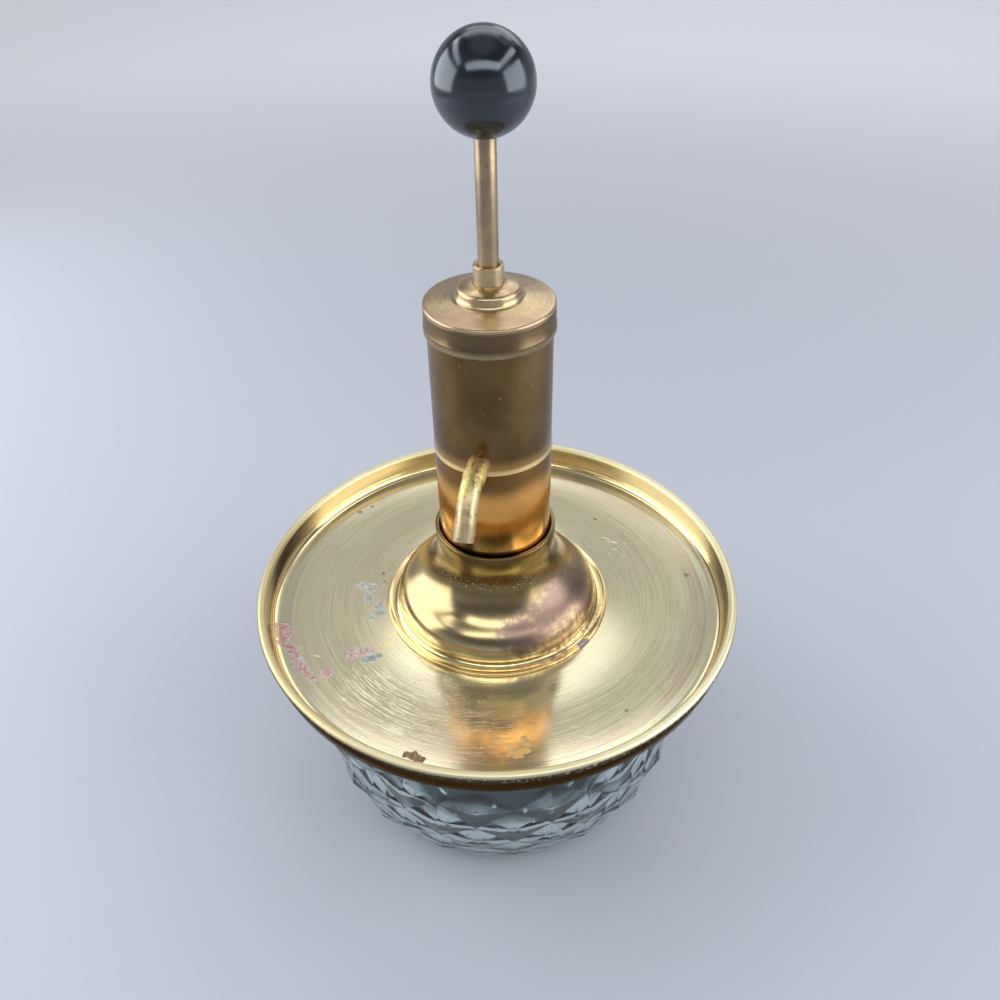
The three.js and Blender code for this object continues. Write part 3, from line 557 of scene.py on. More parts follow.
gasket = ring("bowl_gasket_ring", 40.9, 46, 101.25, 102.9, bowl_sides)
soften(gasket, 0.35)
fit(gasket, seal_rubber, "gasket", "seal_rubber", "bowl_gasket")

# Screw cap
# A pressed brass ring under the tray, with a knurled skirt round the bowl's thread.

turned_brass = brass("turned_brass", (0.72, 0.52, 0.25, 1), (0.42, 0.30, 0.15, 1), 0.26, 3.0, 1400.0)[0]

skirt_radius, knurl_sides, groove_edge, groove_depth = 49, 180, 0.25, 0.35
cap_ring = turned("screw_cap_ring", [
    (21, 102.95), (47.4, 102.95), (47.4, 90.45), (skirt_radius, 90.45), (skirt_radius, 102.7), (48.7, 103.95),
    (21, 103.95), (21, 102.95),
], knurl_sides)


def is_groove(face):
    """Every second tall face of the skirt."""
    radius = math.hypot(face.center.x, face.center.y)
    number = round(math.degrees(math.atan2(face.center.y, face.center.x)) / (360 / knurl_sides) - 0.5)
    return abs(radius - skirt_radius * mm) < 0.02 * mm and face.area > 10 * mm * mm and number % 2 == 0


bpy.ops.object.mode_set(mode="EDIT")
choose(cap_ring, "FACE", is_groove)
bpy.ops.mesh.inset(thickness=groove_edge * mm, depth=-groove_depth * mm)
bpy.ops.object.mode_set(mode="OBJECT")
soften(cap_ring, 0.15, 2)
fit(cap_ring, turned_brass, "lid", "turned_brass", "screw_cap")

# Tray
# Spun from sheet brass: a flat plate with a leaning rim, whose edge is rolled over and folded down
# outside. Its top is lacquered, brushed round in rings, and spotted where the lacquer has failed.

tray_height, tray_sides = 105, 256
roll_centre, roll_radius = (98.15, 113.95), 1.85
rim_foot = [(96.2, 112), (95.6, 108.6), *arc((92.7, 107.9), 2.75, 5, -84, 9), (92.7, 105.1)]
tray = turned("spun_tray", [
    (10.3, 104), (94.8, 104), (96.4, 107.4), (97.5, 113), (98.9, 113), (96.9, 104.5), (97.7, 104.5),
    *arc(roll_centre, roll_radius, 0, 180, 14), *rim_foot, (91.2, tray_height), (10.3, tray_height),
    (10.3, 104),
], tray_sides)
soften(tray, 0.1, 2, 50)


def spots_of(tree, at, places, height, ragged=0.5):
    """The least share of several spots, each (x, y, reach) in millimetres; below 1 is inside."""
    wander = span(tree, noise(tree, at, 420, 4, 0.6), 0.25, 0.75, -ragged, ragged)
    least = None
    for x, y, size in places:
        centre = (x * mm, y * mm, height * mm)
        one = from_group(tree, spot, Vector=at, Centre=centre, Reach=size * mm, Wander=wander)
        least = one if least is None else maths(tree, "MINIMUM", least, one)
    return least


def inside(tree, share, edge=0.2):
    return span(tree, share, 1.0, 1.0 - edge)


def outline_of(tree, share):
    return band_of(tree, share, 0.6, 0.8, 0.9, 1.0)


tray_brass, tree, shader = new_material("tray_brass")
at = own_place(tree)
parts = axes(tree, at)
reach = from_axis(tree, at)
fine = from_group(tree, brushing, Vector=at, Across=2.0, Along=2600.0)
coarse = from_group(tree, brushing, Vector=at, Across=14.0, Along=1300.0)
cloud = span(tree, noise(tree, at, 16, 4, 0.55), 0.36, 0.68)
grains = noise(tree, at, 1500, 4, 0.7)
colour = blend(tree, cloud, (0.79, 0.71, 0.46, 1), (0.68, 0.58, 0.38, 1))
colour = blend(tree, span(tree, coarse, 0.35, 0.65, 0.0, 0.12), colour, (0.50, 0.43, 0.29, 1))
gutter = band_of(tree, reach, 0.0868, 0.0885, 0.0915, 0.0935)
colour = blend(tree, times(tree, gutter, 0.35), colour, (0.46, 0.45, 0.31, 1))
crease = band_of(tree, reach, 0.0862, 0.0866, 0.0870, 0.0876)
colour = blend(tree, times(tree, crease, 0.35), colour, (0.93, 0.70, 0.48, 1))

# Mauve toning near the rim's foot, strongest on the right.
mauve = times(tree, band_of(tree, reach, 0.078, 0.087, 0.0880, 0.0895),
              span(tree, parts["X"], -0.05, 0.08, 0.25, 1.0),
              span(tree, noise(tree, at, 40), 0.2, 0.7, 0.4, 1.0))
colour = blend(tree, times(tree, mauve, 0.5), colour, (0.48, 0.34, 0.25, 1))

# Rubbed rings that catch the light, and short scratches in two directions, thickest at the front left.
worn = inside(tree, spots_of(tree, at, [(-14, -68, 30), (8, -70, 22), (-36, -62, 18)], tray_height, 0.3), 0.9)
wander = add_node(tree, "ShaderNodeTexNoise", {}, {"Vector": at, "Scale": 40, "Detail": 1}).outputs["Color"]
wandering = vector_maths(tree, "ADD", at, vector_maths(tree, "MULTIPLY", wander, (0.0025, 0.0025, 0)))
hair = from_group(tree, brushing, Vector=wandering, Across=5.0, Along=2300.0)
rings = times(tree, span(tree, hair, 0.52, 0.60), plus(tree, worn, 0.05))


def scratches(turn, low, high):
    settings = {"vector_type": "POINT"}
    inputs = {"Vector": at, "Rotation": (0, 0, math.radians(turn)), "Scale": (90, 1500, 90)}
    along = add_node(tree, "ShaderNodeMapping", settings, inputs).outputs["Vector"]
    return span(tree, noise(tree, along, 1, 1, 0.4), low, high)


strokes = most(tree, scratches(28, 0.73, 0.77), scratches(-47, 0.72, 0.76))
struck = inside(tree, spots_of(
    tree, at, [(-31, -56, 9), (9, -64, 9), (45, 40, 9), (-68, -48, 6), (44, -70, 9)], tray_height, 0.5), 0.7)
strokes = times(tree, strokes, plus(tree, struck, 0.04))
marks = most(tree, times(tree, rings, 0.85), strokes)
colour = blend(tree, times(tree, marks, 0.75), colour, (0.95, 0.88, 0.64, 1))

# Spots of corrosion: a rose crust with a pale edge, teal and pale spots, brown ones, and a rubbed patch.
pink_share = spots_of(tree, at, [
    (-84.2, -36.8, 2.8), (-82.2, -38.2, 3.4), (-79.6, -39.6, 2.6), (-83.4, -41.2, 2.6), (-79.8, -44, 3.0),
    (-77.2, -46.8, 2.4), (-74.4, -48.6, 2.8), (-71.6, -51, 2.4), (-69, -54.4, 2.6), (-66.2, -57, 2.6),
    (-63.4, -59.4, 2.2), (-61.2, -60.8, 1.8), (-56.4, -57.6, 2.4), (-49.4, -46, 2.4), (-46.8, -44.4, 2.2),
    (-44.4, -43.4, 2.0), (-42.4, -42.4, 1.6)], tray_height, 0.42)
teal_share = spots_of(tree, at, [(-43.4, -47.4, 2.3), (-41, -46, 2.6), (-39, -44.6, 1.8)], tray_height, 0.25)
pale_share = spots_of(tree, at, [(-58, -7.2, 2.8), (-54.2, -7.6, 3.0), (-53.6, -13.8, 2.7), (-48, -17.4, 2.6),
                                 (-46.2, -21.2, 2.7), (-48.2, -24, 2.4)], tray_height, 0.22)
brown_share = spots_of(tree, at, [
    (-14.4, -87.4, 1.5), (-12.4, -87.6, 1.9), (-10.4, -88, 1.9), (-8.4, -88.4, 1.6), (-11.6, -86.6, 1.3),
    (22.6, -79.4, 1.9), (25.2, -79, 2.3), (27.4, -77, 1.9), (27.6, -74.2, 1.6), (26.2, -72.4, 1.2)],
    tray_height, 0.35)
rubbed_share = spots_of(tree, at, [(-37.6, -38, 4), (-37, -33, 2.6), (-38.6, -43, 2.4)], tray_height, 0.8)
freckles = inside(tree, spots_of(tree, at, [
    (-76.4, 40.9, 1.5), (-83.2, 42.7, 1.6), (-77.6, 53.3, 1.5), (-72, 46, 0.9), (-79.5, 47.5, 0.8),
    (35, 57, 1.0), (61, -52, 1.0), (79, 27, 1.3), (-52, 2, 1.0), (-50, -3, 0.8)], tray_height, 0.45), 0.4)
faded = times(tree, inside(tree, rubbed_share, 0.6), span(tree, grains, 0.45, 0.55))
colour = blend(tree, times(tree, faded, 0.7), colour, (0.90, 0.68, 0.28, 1))
colour = blend(tree, times(tree, freckles, 0.8), colour, (0.36, 0.25, 0.13, 1))
swirl = span(tree, noise(tree, at, 900, 3, 0.6), 0.50, 0.62)
pales = blend(tree, swirl, (0.27, 0.30, 0.26, 1), (0.58, 0.59, 0.56, 1))
pales = blend(tree, times(tree, outline_of(tree, pale_share), 0.7), pales, (0.60, 0.61, 0.58, 1))
pales = blend(tree, times(tree, span(tree, pale_share, 0.88, 0.97), 0.8), pales, (0.30, 0.28, 0.22, 1))
colour = blend(tree, times(tree, inside(tree, pale_share, 0.1), 0.8), colour, pales)
browns = blend(tree, span(tree, grains, 0.4, 0.6), (0.12, 0.075, 0.035, 1), (0.36, 0.24, 0.11, 1))
golden = times(tree, span(tree, parts["X"], 0.0, 0.01), span(tree, brown_share, 0.95, 0.7))
browns = blend(tree, golden, browns, (0.66, 0.40, 0.11, 1))
colour = blend(tree, inside(tree, brown_share), colour, browns)
teals = blend(tree, swirl, (0.20, 0.27, 0.25, 1), (0.44, 0.52, 0.49, 1))
teals = blend(tree, outline_of(tree, teal_share), teals, (0.56, 0.60, 0.57, 1))
colour = blend(tree, times(tree, inside(tree, teal_share), 0.85), colour, teals)
pinks = blend(tree, span(tree, grains, 0.42, 0.56), (0.42, 0.19, 0.16, 1), (0.70, 0.46, 0.39, 1))
greyed = times(tree, swirl, span(tree, parts["Y"], -0.046, -0.040))
pinks = blend(tree, greyed, pinks, (0.60, 0.55, 0.57, 1))
crimson = from_group(tree, specks, Vector=at, Scale=620.0, Size=0.34, Share=0.5)
pinks = blend(tree, times(tree, crimson, 0.7), pinks, (0.40, 0.11, 0.11, 1))
pinks = blend(tree, outline_of(tree, pink_share), pinks, (0.66, 0.61, 0.63, 1))
crust = inside(tree, pink_share)
colour = blend(tree, crust, colour, pinks)
dots = from_group(tree, specks, Vector=at, Scale=140.0, Size=0.10, Share=0.10)
colour = blend(tree, times(tree, dots, 0.7), colour, (0.35, 0.27, 0.15, 1))

# The rim is smooth. Painted orange gold stands for the tray's reflection at its foot, a painted highlight makes
# the crest pale, and the wall is toned brown with painted shade on the left.
rim = span(tree, reach, 0.0925, 0.0932)
wall = times(tree, rim, span(tree, parts["Z"], 0.1075, 0.1090))
# Painted reflection: the whole rim is painted orange gold, which shows most at its foot.
colour = blend(tree, rim, colour, (0.88, 0.68, 0.36, 1))
right = times(tree, wall, span(tree, parts["X"], 0.01, 0.06, 0.0, 0.8))
colour = blend(tree, right, colour, (0.74, 0.66, 0.43, 1))
# Painted shade: over a brown tone all round, the wall is darkened further on the left and front left.
left = times(tree, span(tree, parts["X"], 0.0, -0.06), span(tree, parts["Y"], 0.035, -0.005))
tone_and_left_shade = times(tree, wall, plus(tree, 0.32, times(tree, left, 0.63)))
colour = blend(tree, tone_and_left_shade, colour, (0.13, 0.085, 0.04, 1))
# Painted highlight: the crest is painted pale, and on the left painted shade darkens it again.
crest = times(tree, rim, span(tree, parts["Z"], 0.1138, 0.1147))
colour = blend(tree, crest, colour, (0.92, 0.82, 0.50, 1))
colour = blend(tree, times(tree, crest, left, 0.6), colour, (0.50, 0.36, 0.14, 1))
marks = times(tree, marks, minus(tree, 1.0, rim))

# Outside, under the rolled edge, and on its underside the tray is painted dark brown, and its reflection there
# is tinted brown.
outside = most(
    tree,
    times(tree, span(tree, reach, 0.0978, 0.0988), span(tree, parts["Z"], 0.1153, 0.1141)),
    times(tree, span(tree, reach, 0.0966, 0.0969), span(tree, parts["Z"], 0.1125, 0.1115)),
    span(tree, parts["Z"], 0.1045, 0.1042),
)
colour = blend(tree, times(tree, outside, 0.95), colour, (0.055, 0.042, 0.028, 1))
chips = times(tree, span(tree, reach, 0.0986, 0.0992), span(tree, noise(tree, at, 800, 4, 0.7), 0.55, 0.61),
              span(tree, parts["Z"], 0.1115, 0.1130), span(tree, parts["X"], -0.02, 0.07, 0.25, 1.0))
colour = blend(tree, chips, colour, (0.86, 0.78, 0.62, 1))

dull = most(tree, crust, times(tree, inside(tree, brown_share), 0.9),
            times(tree, inside(tree, teal_share), 0.8), times(tree, inside(tree, pale_share), 0.35))
rough = plus(tree, span(tree, fine, 0.3, 0.7, 0.07, 0.15), times(tree, cloud, 0.05), times(tree, crest, 0.20),
             times(tree, wall, 0.14), times(tree, dull, 0.5), times(tree, marks, 0.16))
raised = times(tree, dull, plus(tree, 0.5, grains))
smooth = minus(tree, 0.035, times(tree, rim, 0.035))
relief = plus(tree, times(tree, fine, smooth), times(tree, raised, 0.9), times(tree, marks, 0.04))
bumped(tree, shader, relief, 0.8, 0.00035)
haze = minus(tree, 0.14, times(tree, rim, 0.10))
set_inputs(tree, shader, Base_Color=colour, Roughness=rough, Metallic=minus(tree, minus(tree, 1.0, haze), dull),
           Specular_Tint=blend(tree, outside, (1, 1, 1, 1), (0.42, 0.33, 0.22, 1)))
fit(tray, tray_brass, "lid", "tray_brass", "tray")

# Dome
# A spun brass bell that covers the pump's foot. Its flange ends in a thin bead with a cove behind it,
# its flare rises to an upright neck, and a crust of dried drink and polish lies under the neck.

flange_edge, dome_top, dome_sides = 46.84, 146, 200
bell_edge, bell_centre, bell_foot, bell_height, bell_power = 41.9, 20, 106.5, 15.5, 2.4
flare_height, neck_outside, neck_inside = 139, 24.1, 22.6


def bell_point(share):
    angle = math.pi / 2 * share
    across = math.cos(angle) ** (2 / bell_power)
    up = math.sin(angle) ** (2 / bell_power)
    return bell_centre + (bell_edge - bell_centre) * across, bell_foot + bell_height * up


samples = [bell_point(i / 400) for i in range(400)]
flare_radius = min(
    (size / 20 for size in range(200, 900)),
    key=lambda size: abs(min(math.dist(p, (neck_outside + size, flare_height)) for p in samples) - size),
)
flare_centre = (neck_outside + flare_radius, flare_height)
touching = min(samples, key=lambda p: math.dist(p, flare_centre))
touch_angle = math.degrees(math.atan2(touching[1] - flare_height, touching[0] - flare_centre[0])) % 360
foot_points = [p for p in samples[::14] if p[1] < touching[1] - 0.6]
dome_outside = [
    (flange_edge, 105.3), *arc((flange_edge - 0.6, 105.45), 0.6, 0, 125, 6), (45.3, 105.66), (44.4, 105.52),
    (43.5, 105.6), (42.8, 105.85), (42.25, 106.2), *foot_points,
    *arc(flare_centre, flare_radius, touch_angle, 180, 24), (neck_outside, 145.5),
]
dome = turned("dome_bell", [
    (flange_edge, 105.06), *dome_outside, (24.0, 145.8), (23.75, dome_top), (22.7, dome_top), (22.5, 145.8),
    (22.5, 145.2), (neck_inside, 144.6), (neck_inside, flare_height),
    *arc(flare_centre, flare_radius + 1.5, 180, touch_angle, 8), (39.9, 107.6), (39.6, 105.06),
    (flange_edge, 105.06),
], dome_sides)
soften(dome, 0.25, 2, 45)
dome_brass, tree, shader, at, colour, rough = brass(
    "dome_brass", (0.55, 0.41, 0.20, 1), (0.36, 0.27, 0.15, 1), 0.18, 2.0, 900.0, 22, 0.5)
parts = axes(tree, at)
height = parts["Z"]
# Painted shade: the upper bell and the neck are darkened.
colour = blend(tree, span(tree, height, 0.1225, 0.1300, 0.0, 0.85), colour, (0.20, 0.14, 0.05, 1))
# Painted reflection: a pale band low on the bell stands for the tray's reflection.
low_band_reflection = band_of(tree, height, 0.1062, 0.1075, 0.1115, 0.1150)
colour = blend(tree, times(tree, low_band_reflection, 0.85), colour, (0.96, 0.83, 0.57, 1))
flange = span(tree, height, 0.1066, 0.1060)
colour = blend(tree, flange, colour, (0.97, 0.72, 0.34, 1))
rough = minus(tree, rough, times(tree, flange, 0.06))
# A purple tone on the right front of the bell, darkened further there by painted shade.
purple_and_right_shade = inside(tree, spots_of(
    tree, at, [(30, -26, 18), (35, -8, 18), (18, -34, 12), (28, -14, 16)], 117, 0.3), 0.6)
colour = blend(tree, times(tree, purple_and_right_shade, 0.85), colour, (0.25, 0.165, 0.135, 1))
crusted = inside(tree, spots_of(
    tree, at, [(32, -25, 11), (36, -16, 9), (27, -31, 9), (33, 2, 9), (27, 2, 7)], 114, 0.45), 0.8)
crusted = times(tree, crusted, span(tree, noise(tree, at, 420, 6, 0.68), 0.42, 0.62),
                span(tree, height, 0.1070, 0.1090))
colour = blend(tree, times(tree, crusted, 0.6), colour, (0.78, 0.45, 0.17, 1))
under_neck = band_of(tree, from_axis(tree, at), 0.0243, 0.0247, 0.0255, 0.0266)
lime = times(tree, under_neck, span(tree, parts["Y"], 0.012, -0.022),
             span(tree, noise(tree, at, 1600, 5, 0.75), 0.58, 0.66))
colour = blend(tree, lime, colour, (0.74, 0.70, 0.63, 1))
grey_spot = inside(tree, spots_of(tree, at, [(40.6, -23.6, 2.6), (42, -21.2, 2)], 105.8, 0.5))
colour = blend(tree, grey_spot, colour, (0.40, 0.36, 0.34, 1))
dull = most(tree, lime, times(tree, grey_spot, 0.8))
set_inputs(tree, shader, Base_Color=colour, Metallic=minus(tree, 1.0, dull),
           Roughness=plus(tree, rough, times(tree, dull, 0.5), times(tree, purple_and_right_shade, 0.08)))
fit(dome, dome_brass, "lid", "dome_brass", "dome_flange")

# Foot valve, tail, washers, nut and dip tube
# Turned brass parts under the dome and the tray, which hold the pump down and reach into the drink.

small_sides = 96
valve = turned("foot_valve", [
    (4.56, 92), (9.4, 92), (10, 92.6), (10, 105.05), (14, 105.05), (14, 116.05), (22, 116.05), (22, 120.05),
    (18.94, 120.05), (18.94, 127.5), (5.2, 127.5), (5.2, 119.5), (2.6, 116.9), (2.6, 99), (4.56, 99),
    (4.56, 92),
], small_sides)
soften(valve, 0.2, 2)
fit(valve, turned_brass, "lid", "turned_brass", "foot_valve_body")

tube = ring("dip_tube_pipe", 3.5, 4.5, 12, 98.95, 64)
soften(tube, 0.2, 2)
fit(tube, turned_brass, "lid", "turned_brass", "dip_tube")

washer = ring("mounting_washer_disc", 10.15, 17.5, 101.5, 102.7, small_sides)
soften(washer, 0.2, 2)
fit(washer, turned_brass, "lid", "turned_brass", "mounting_washer")

seal = ring("sealing_washer_disc", 10.15, 17.5, 102.75, 103.95, small_sides)
soften(seal, 0.3, 2)
fit(seal, seal_rubber, "lid", "seal_rubber", "sealing_washer")

nut_half_width = 13.5
nut = turned("mounting_nut_hex", [
    (10.12, 95.45), (13.9, 95.45), (15.59, 96.3), (15.59, 100.6), (13.9, 101.45), (10.12, 101.45),
    (10.12, 95.45),
], small_sides)
bpy.ops.object.mode_set(mode="EDIT")
for side in range(6):
    turn = math.radians(30 + 60 * side)
    out = Vector((math.cos(turn), math.sin(turn), 0))
    bpy.ops.mesh.select_all(action="SELECT")
    bpy.ops.mesh.bisect(plane_co=tuple(out * nut_half_width * mm), plane_no=tuple(out), use_fill=True,
                        clear_outer=True)
bpy.ops.object.mode_set(mode="OBJECT")
soften(nut, 0.12, 2, 30)
fit(nut, turned_brass, "lid", "turned_brass", "mounting_nut")

# Pump column
# Two brass tubes. The lower one is bright orange gold, and the upper one is toned brown and streaked.
# The bead at the upper one's foot makes the seam.

column_sides = 160
lower_tube = turned("lower_barrel", [
    (19, 120.6), (22, 120.6), (22, 184.3), (20.4, 184.3), (20.4, 178.25), (19, 178.25), (19, 120.6),
], column_sides)
soften(lower_tube, 0.15, 2)
lower_brass, tree, shader, at, colour, _ = brass(
    "lower_brass", (0.80, 0.41, 0.11, 1), (0.52, 0.26, 0.065, 1), 0.14, 90.0, 60.0, 35, 0.35)
parts = axes(tree, at)
wavy = plus(tree, parts["Z"], times(tree, noise(tree, at, 40, 2), 0.008))
# Painted shade under the seam: the top of the tube is darkened.
colour = blend(tree, span(tree, wavy, 0.1755, 0.1835, 0.0, 0.9), colour, (0.155, 0.09, 0.032, 1))
# Painted shade: the middle of the tube's lower part, front and back, is darkened.
middle = span(tree, maths(tree, "ABSOLUTE", parts["X"]), 0.0145, 0.0100)
low = times(tree, span(tree, wavy, 0.1640, 0.1580), middle)
colour = blend(tree, times(tree, low, 0.95), colour, (0.105, 0.066, 0.026, 1))
set_inputs(tree, shader, Base_Color=colour)
fit(lower_tube, lower_brass, "lid", "lower_brass", "lower_cylinder")

upper_tube = turned("upper_chamber", [
    (19, 178.3), (20.34, 178.3), (20.34, 184.35), (21.9, 184.35),
    *arc((21.85, 184.95), 0.56, -70, 15, 5), (22.3, 185.6), (22.14, 186.4), (22.03, 187.2), (22, 188),
    (22, 242.05), (20.4, 242.05), (20.4, 184.5), (19, 184.5), (19, 178.3),
], column_sides)
soften(upper_tube, 0.1, 2, 40)
upper_brass, tree, shader, at, colour, _ = brass(
    "upper_brass", (0.225, 0.142, 0.058, 1), (0.145, 0.087, 0.036, 1), 0.17, 120.0, 40.0, 30, 0.5)
height = axes(tree, at)["Z"]
colour = blend(tree, span(tree, height, 0.1915, 0.1870, 0.0, 0.6), colour, (0.56, 0.33, 0.11, 1))
glints = from_group(tree, specks, Vector=at, Scale=520.0, Size=0.22, Share=0.05)
colour = blend(tree, times(tree, glints, 0.7), colour, (0.80, 0.66, 0.45, 1))
bead = span(tree, height, 0.1872, 0.1858)
set_inputs(tree, shader, Base_Color=blend(tree, bead, colour, (0.86, 0.66, 0.30, 1)))
fit(upper_tube, upper_brass, "lid", "upper_brass", "upper_cylinder")

# Spout
# A bent brass tube, soldered through the column's wall above the seam and cut square at its tip.

spout_radius, spout_height, bend_start, bend_size, bend_angle, tip_length = 3.75, 189.5, 31, 12, 53, 12
spout_root, root_swell, spout_wall = 20.6, 1.1, 1.0
bpy.ops.object.select_all(action="DESELECT")
bpy.ops.mesh.primitive_circle_add(vertices=48, radius=spout_radius * mm, rotation=(math.radians(90), 0, 0),
                                  location=(0, -spout_root * mm, spout_height * mm))
bpy.ops.object.transform_apply(location=True, rotation=True)
spout = bpy.context.object
spout.name = spout.data.name = "pouring_spout"
bpy.ops.object.mode_set(mode="EDIT")
bpy.ops.mesh.select_mode(type="VERT")
bpy.ops.mesh.select_all(action="SELECT")
bpy.ops.mesh.extrude_region_move(TRANSFORM_OT_translate={"value": (0, (spout_root - bend_start) * mm, 0)})
bpy.ops.mesh.spin(steps=14, angle=-math.radians(bend_angle), axis=(1, 0, 0),
                  center=(0, -bend_start * mm, (spout_height - bend_size) * mm))
down = Vector((0, -math.cos(math.radians(bend_angle)), -math.sin(math.radians(bend_angle))))
bpy.ops.mesh.extrude_region_move(TRANSFORM_OT_translate={"value": tuple(down * tip_length * mm)})
close_up()
choose(spout, "VERT", lambda v: v.co.y > -(bend_start + 0.5) * mm)
bpy.ops.transform.resize(value=(root_swell, 1, root_swell), center_override=(0, 0, spout_height * mm))
bpy.ops.object.mode_set(mode="OBJECT")
bpy.ops.object.modifier_add(type="SOLIDIFY")
wall = spout.modifiers[-1]
wall.thickness = spout_wall * mm
wall.offset = -1
bpy.ops.object.modifier_apply(modifier=wall.name)
soften(spout, 0.22, 2, 40)
spout_brass, tree, shader, at, colour, _ = brass(
    "spout_brass", (0.86, 0.69, 0.27, 1), (0.66, 0.50, 0.20, 1), 0.38, 60.0, 60.0, 160, 0.5, 0.00003, 0.25)
ragged = times(tree, minus(tree, noise(tree, at, 260, 4), 0.5), 0.02)
outwards = plus(tree, axes(tree, at)["Y"], ragged)
colour = blend(tree, span(tree, outwards, -0.0370, -0.0410, 0.0, 0.85), colour, (0.62, 0.47, 0.29, 1))
stains = span(tree, noise(tree, at, 330, 5, 0.65), 0.56, 0.64)
set_inputs(tree, shader, Base_Color=blend(tree, times(tree, stains, 0.7), colour, (0.13, 0.09, 0.055, 1)))
bumped(tree, shader, noise(tree, at, 240, 3, 0.6), 0.6, 0.0007)
fit(spout, spout_brass, "lid", "rod_brass", "spout")

# Top cap and guide bush
# A turned cap with a skirt, a bright lip and a boss, and the bush in it that guides the rod.

cap = turned("top_cap_shell", [
    (22.12, 232.15), (22.45, 232), (22.85, 232.1), (23.05, 232.5), (23.05, 234.7), (22.92, 235.1),
    (22.78, 235.3), (22.78, 241.0), (22.62, 241.15), (22.62, 241.35), (22.8, 241.5),
    *arc((21.9, 241.9), 0.9, 0, 80, 6),
    (20.5, 242.88), (13.2, 243.95), (12.3, 244.15), (11.7, 244.5), (11.25, 245.1), (10.95, 245.9),
    *arc((9.3, 246.5), 1.6, 0, 75, 6), (7.4, 248.75), (5.25, 249.3), (5.25, 248.3), (9.6, 245.6), (10.4, 242.4),
    (22.12, 241.6), (22.12, 232.15),
], column_sides)
soften(cap, 0.1, 2, 45)
cap_brass, tree, shader, at, colour, _ = brass(
    "cap_brass", (0.60, 0.46, 0.24, 1), (0.49, 0.34, 0.21, 1), 0.24, 2.5, 1500.0, 90, 0.5)
height = axes(tree, at)["Z"]
# Painted shade darkens the skirt, and the lip half as much, so the lip stays brighter.
side = times(tree, span(tree, height, 0.2418, 0.2410), span(tree, height, 0.2330, 0.2350, 0.5, 1.0))
set_inputs(tree, shader, Base_Color=blend(tree, times(tree, side, 0.9), colour, (0.14, 0.095, 0.045, 1)))
fit(cap, cap_brass, "lid", "cap_brass", "top_cap")

bush = turned("guide_bush_sleeve", [
    (3.56, 246.2), (6.2, 246.2), (6.2, 247.6), (5.2, 247.6), (5.2, 255.5), (3.56, 255.5), (3.56, 246.2),
], small_sides)
soften(bush, 0.35, 3)
fit(bush, cap_brass, "lid", "cap_brass", "guide_bush")

# Plunger rod
# A drawn brass rod, aged and pitted, with a thread for the piston below and the knob's insert on top.

rod = turned("plunger_shaft", [
    (0, 167.5), (2.5, 167.5), (2.5, 179.05), (3.5, 179.05), (3.5, 182), (2.9, 182), (2.9, 183.1), (3.5, 183.1),
    (3.5, 305), (0, 305),
], small_sides)
soften(rod, 0.12, 2)
rod_brass = brass(
    "rod_brass", (0.46, 0.34, 0.195, 1), (0.29, 0.215, 0.15, 1), 0.24, 70.0, 30.0, 80, 0.5, 0.00003, 0.3)[0]
fit(rod, rod_brass, "plunger", "rod_brass", "plunger_rod")

# Return spring
# A wound steel spring that lifts the plunger. A closed turn at each end stands on the seat and the collar.

steel, tree, shader = new_material("bright_steel")
at = own_place(tree)
marks = from_group(tree, brushing, Vector=at, Across=4.0, Along=2500.0)
set_inputs(tree, shader, Base_Color=blend(tree, marks, (0.56, 0.57, 0.58, 1), (0.70, 0.71, 0.72, 1)),
           Roughness=span(tree, marks, 0.2, 0.8, 0.16, 0.32), Metallic=1.0)

wire, coil_radius, spring_low, spring_high = 0.6, 7.0, 185.64, 242.50
turns, steps_per_turn, closed_rise = 10, 24, 1.25
open_rise = (spring_high - spring_low - 2 * wire - 2 * closed_rise) / (turns - 2)
bpy.ops.object.select_all(action="DESELECT")
bpy.ops.mesh.primitive_circle_add(vertices=10, radius=wire * mm, fill_type="NGON",
                                  location=(coil_radius * mm, 0, (spring_low + wire) * mm),
                                  rotation=(math.radians(90), 0, 0))
bpy.ops.object.transform_apply(location=True, rotation=True)
spring = bpy.context.object
spring.name = spring.data.name = "return_spring_coil"
bpy.ops.object.mode_set(mode="EDIT")
bpy.ops.mesh.select_mode(type="FACE")
bpy.ops.mesh.select_all(action="SELECT")
for step in range(turns * steps_per_turn):
    rise = closed_rise if step // steps_per_turn in (0, turns - 1) else open_rise
    bpy.ops.mesh.extrude_region_move(TRANSFORM_OT_translate={"value": (0, 0, rise / steps_per_turn * mm)})
    bpy.ops.transform.rotate(value=math.radians(360 / steps_per_turn), orient_axis="Z",
                             center_override=(0, 0, 0))
bpy.ops.mesh.select_all(action="SELECT")
bpy.ops.mesh.normals_make_consistent(inside=False)
bpy.ops.object.mode_set(mode="OBJECT")
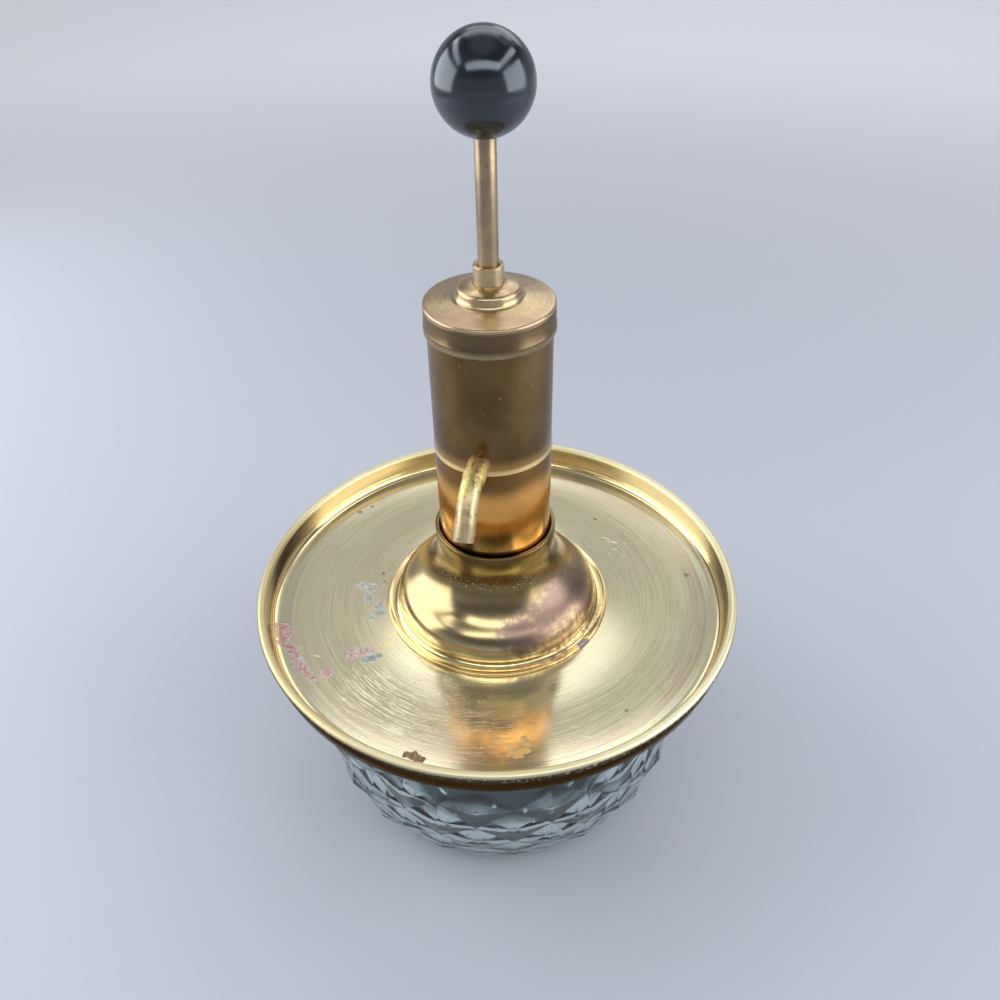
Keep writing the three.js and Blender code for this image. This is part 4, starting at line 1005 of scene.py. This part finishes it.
soften(spring, 0.05, 2, 60)
fit(spring, steel, "lid", "steel", "return_spring")
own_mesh(spring)

# Ball knob
# Glossy black phenolic, moulded round a brass insert.

knob_centre, knob_radius, knob_sides = 311, 15.5, 128
knob = turned("ball_knob_gloss", [
    (0, 306.05), (5.05, 306.05), (5.05, 297.2), *arc((0, knob_centre), knob_radius, -69.2, 90, 56),
], knob_sides)
soften(knob, 0.1, 2, 50)
knob_gloss, tree, shader = new_material("knob_gloss")
at = own_place(tree)
dust = from_group(tree, specks, Vector=at, Scale=420.0, Size=0.12, Share=0.12)
haze = span(tree, noise(tree, at, 90, 5, 0.65), 0.35, 0.75, 0.13, 0.24)
set_inputs(tree, shader, Base_Color=blend(tree, dust, (0.006, 0.007, 0.010, 1), (0.10, 0.10, 0.11, 1)),
           Roughness=haze, IOR=1.8, Specular_Tint=(0.80, 0.89, 1, 1))
bumped(tree, shader, noise(tree, at, 130, 3), 0.12, 0.0005)
fit(knob, knob_gloss, "plunger", "knob_plastic", "ball_knob")

insert = turned("knob_insert_sleeve", [
    (0, 305.05), (3.56, 305.05), (3.56, 296.51), (5, 296.51), (5, 306), (0, 306),
], small_sides)
soften(insert, 0.15, 2)
fit(insert, turned_brass, "plunger", "turned_brass", "knob_insert")

# Finishes of the inner parts
# Those that never show keep their CAD solids, with the brass, steel or leather of the real ones.

leather, tree, shader = new_material("pump_leather")
at = own_place(tree)
grain = noise(tree, at, 900, 5, 0.6)
set_inputs(tree, shader, Base_Color=blend(tree, grain, (0.20, 0.11, 0.05, 1), (0.36, 0.21, 0.11, 1)),
           Roughness=span(tree, grain, 0.2, 0.8, 0.45, 0.75))
bumped(tree, shader, grain, 0.5, 0.0001)

finishes = {"steel": steel, "pump_leather": leather, "turned_brass": turned_brass, "seal_rubber": seal_rubber}
slots = {part["node"]: part["material_slot"] for part in frame["record"]["subparts"]}
for name, node in frame["nodes"].items():
    if not node.hide_render and slots[name] in finishes:
        for place in node.material_slots:
            place.material = finishes[slots[name]]
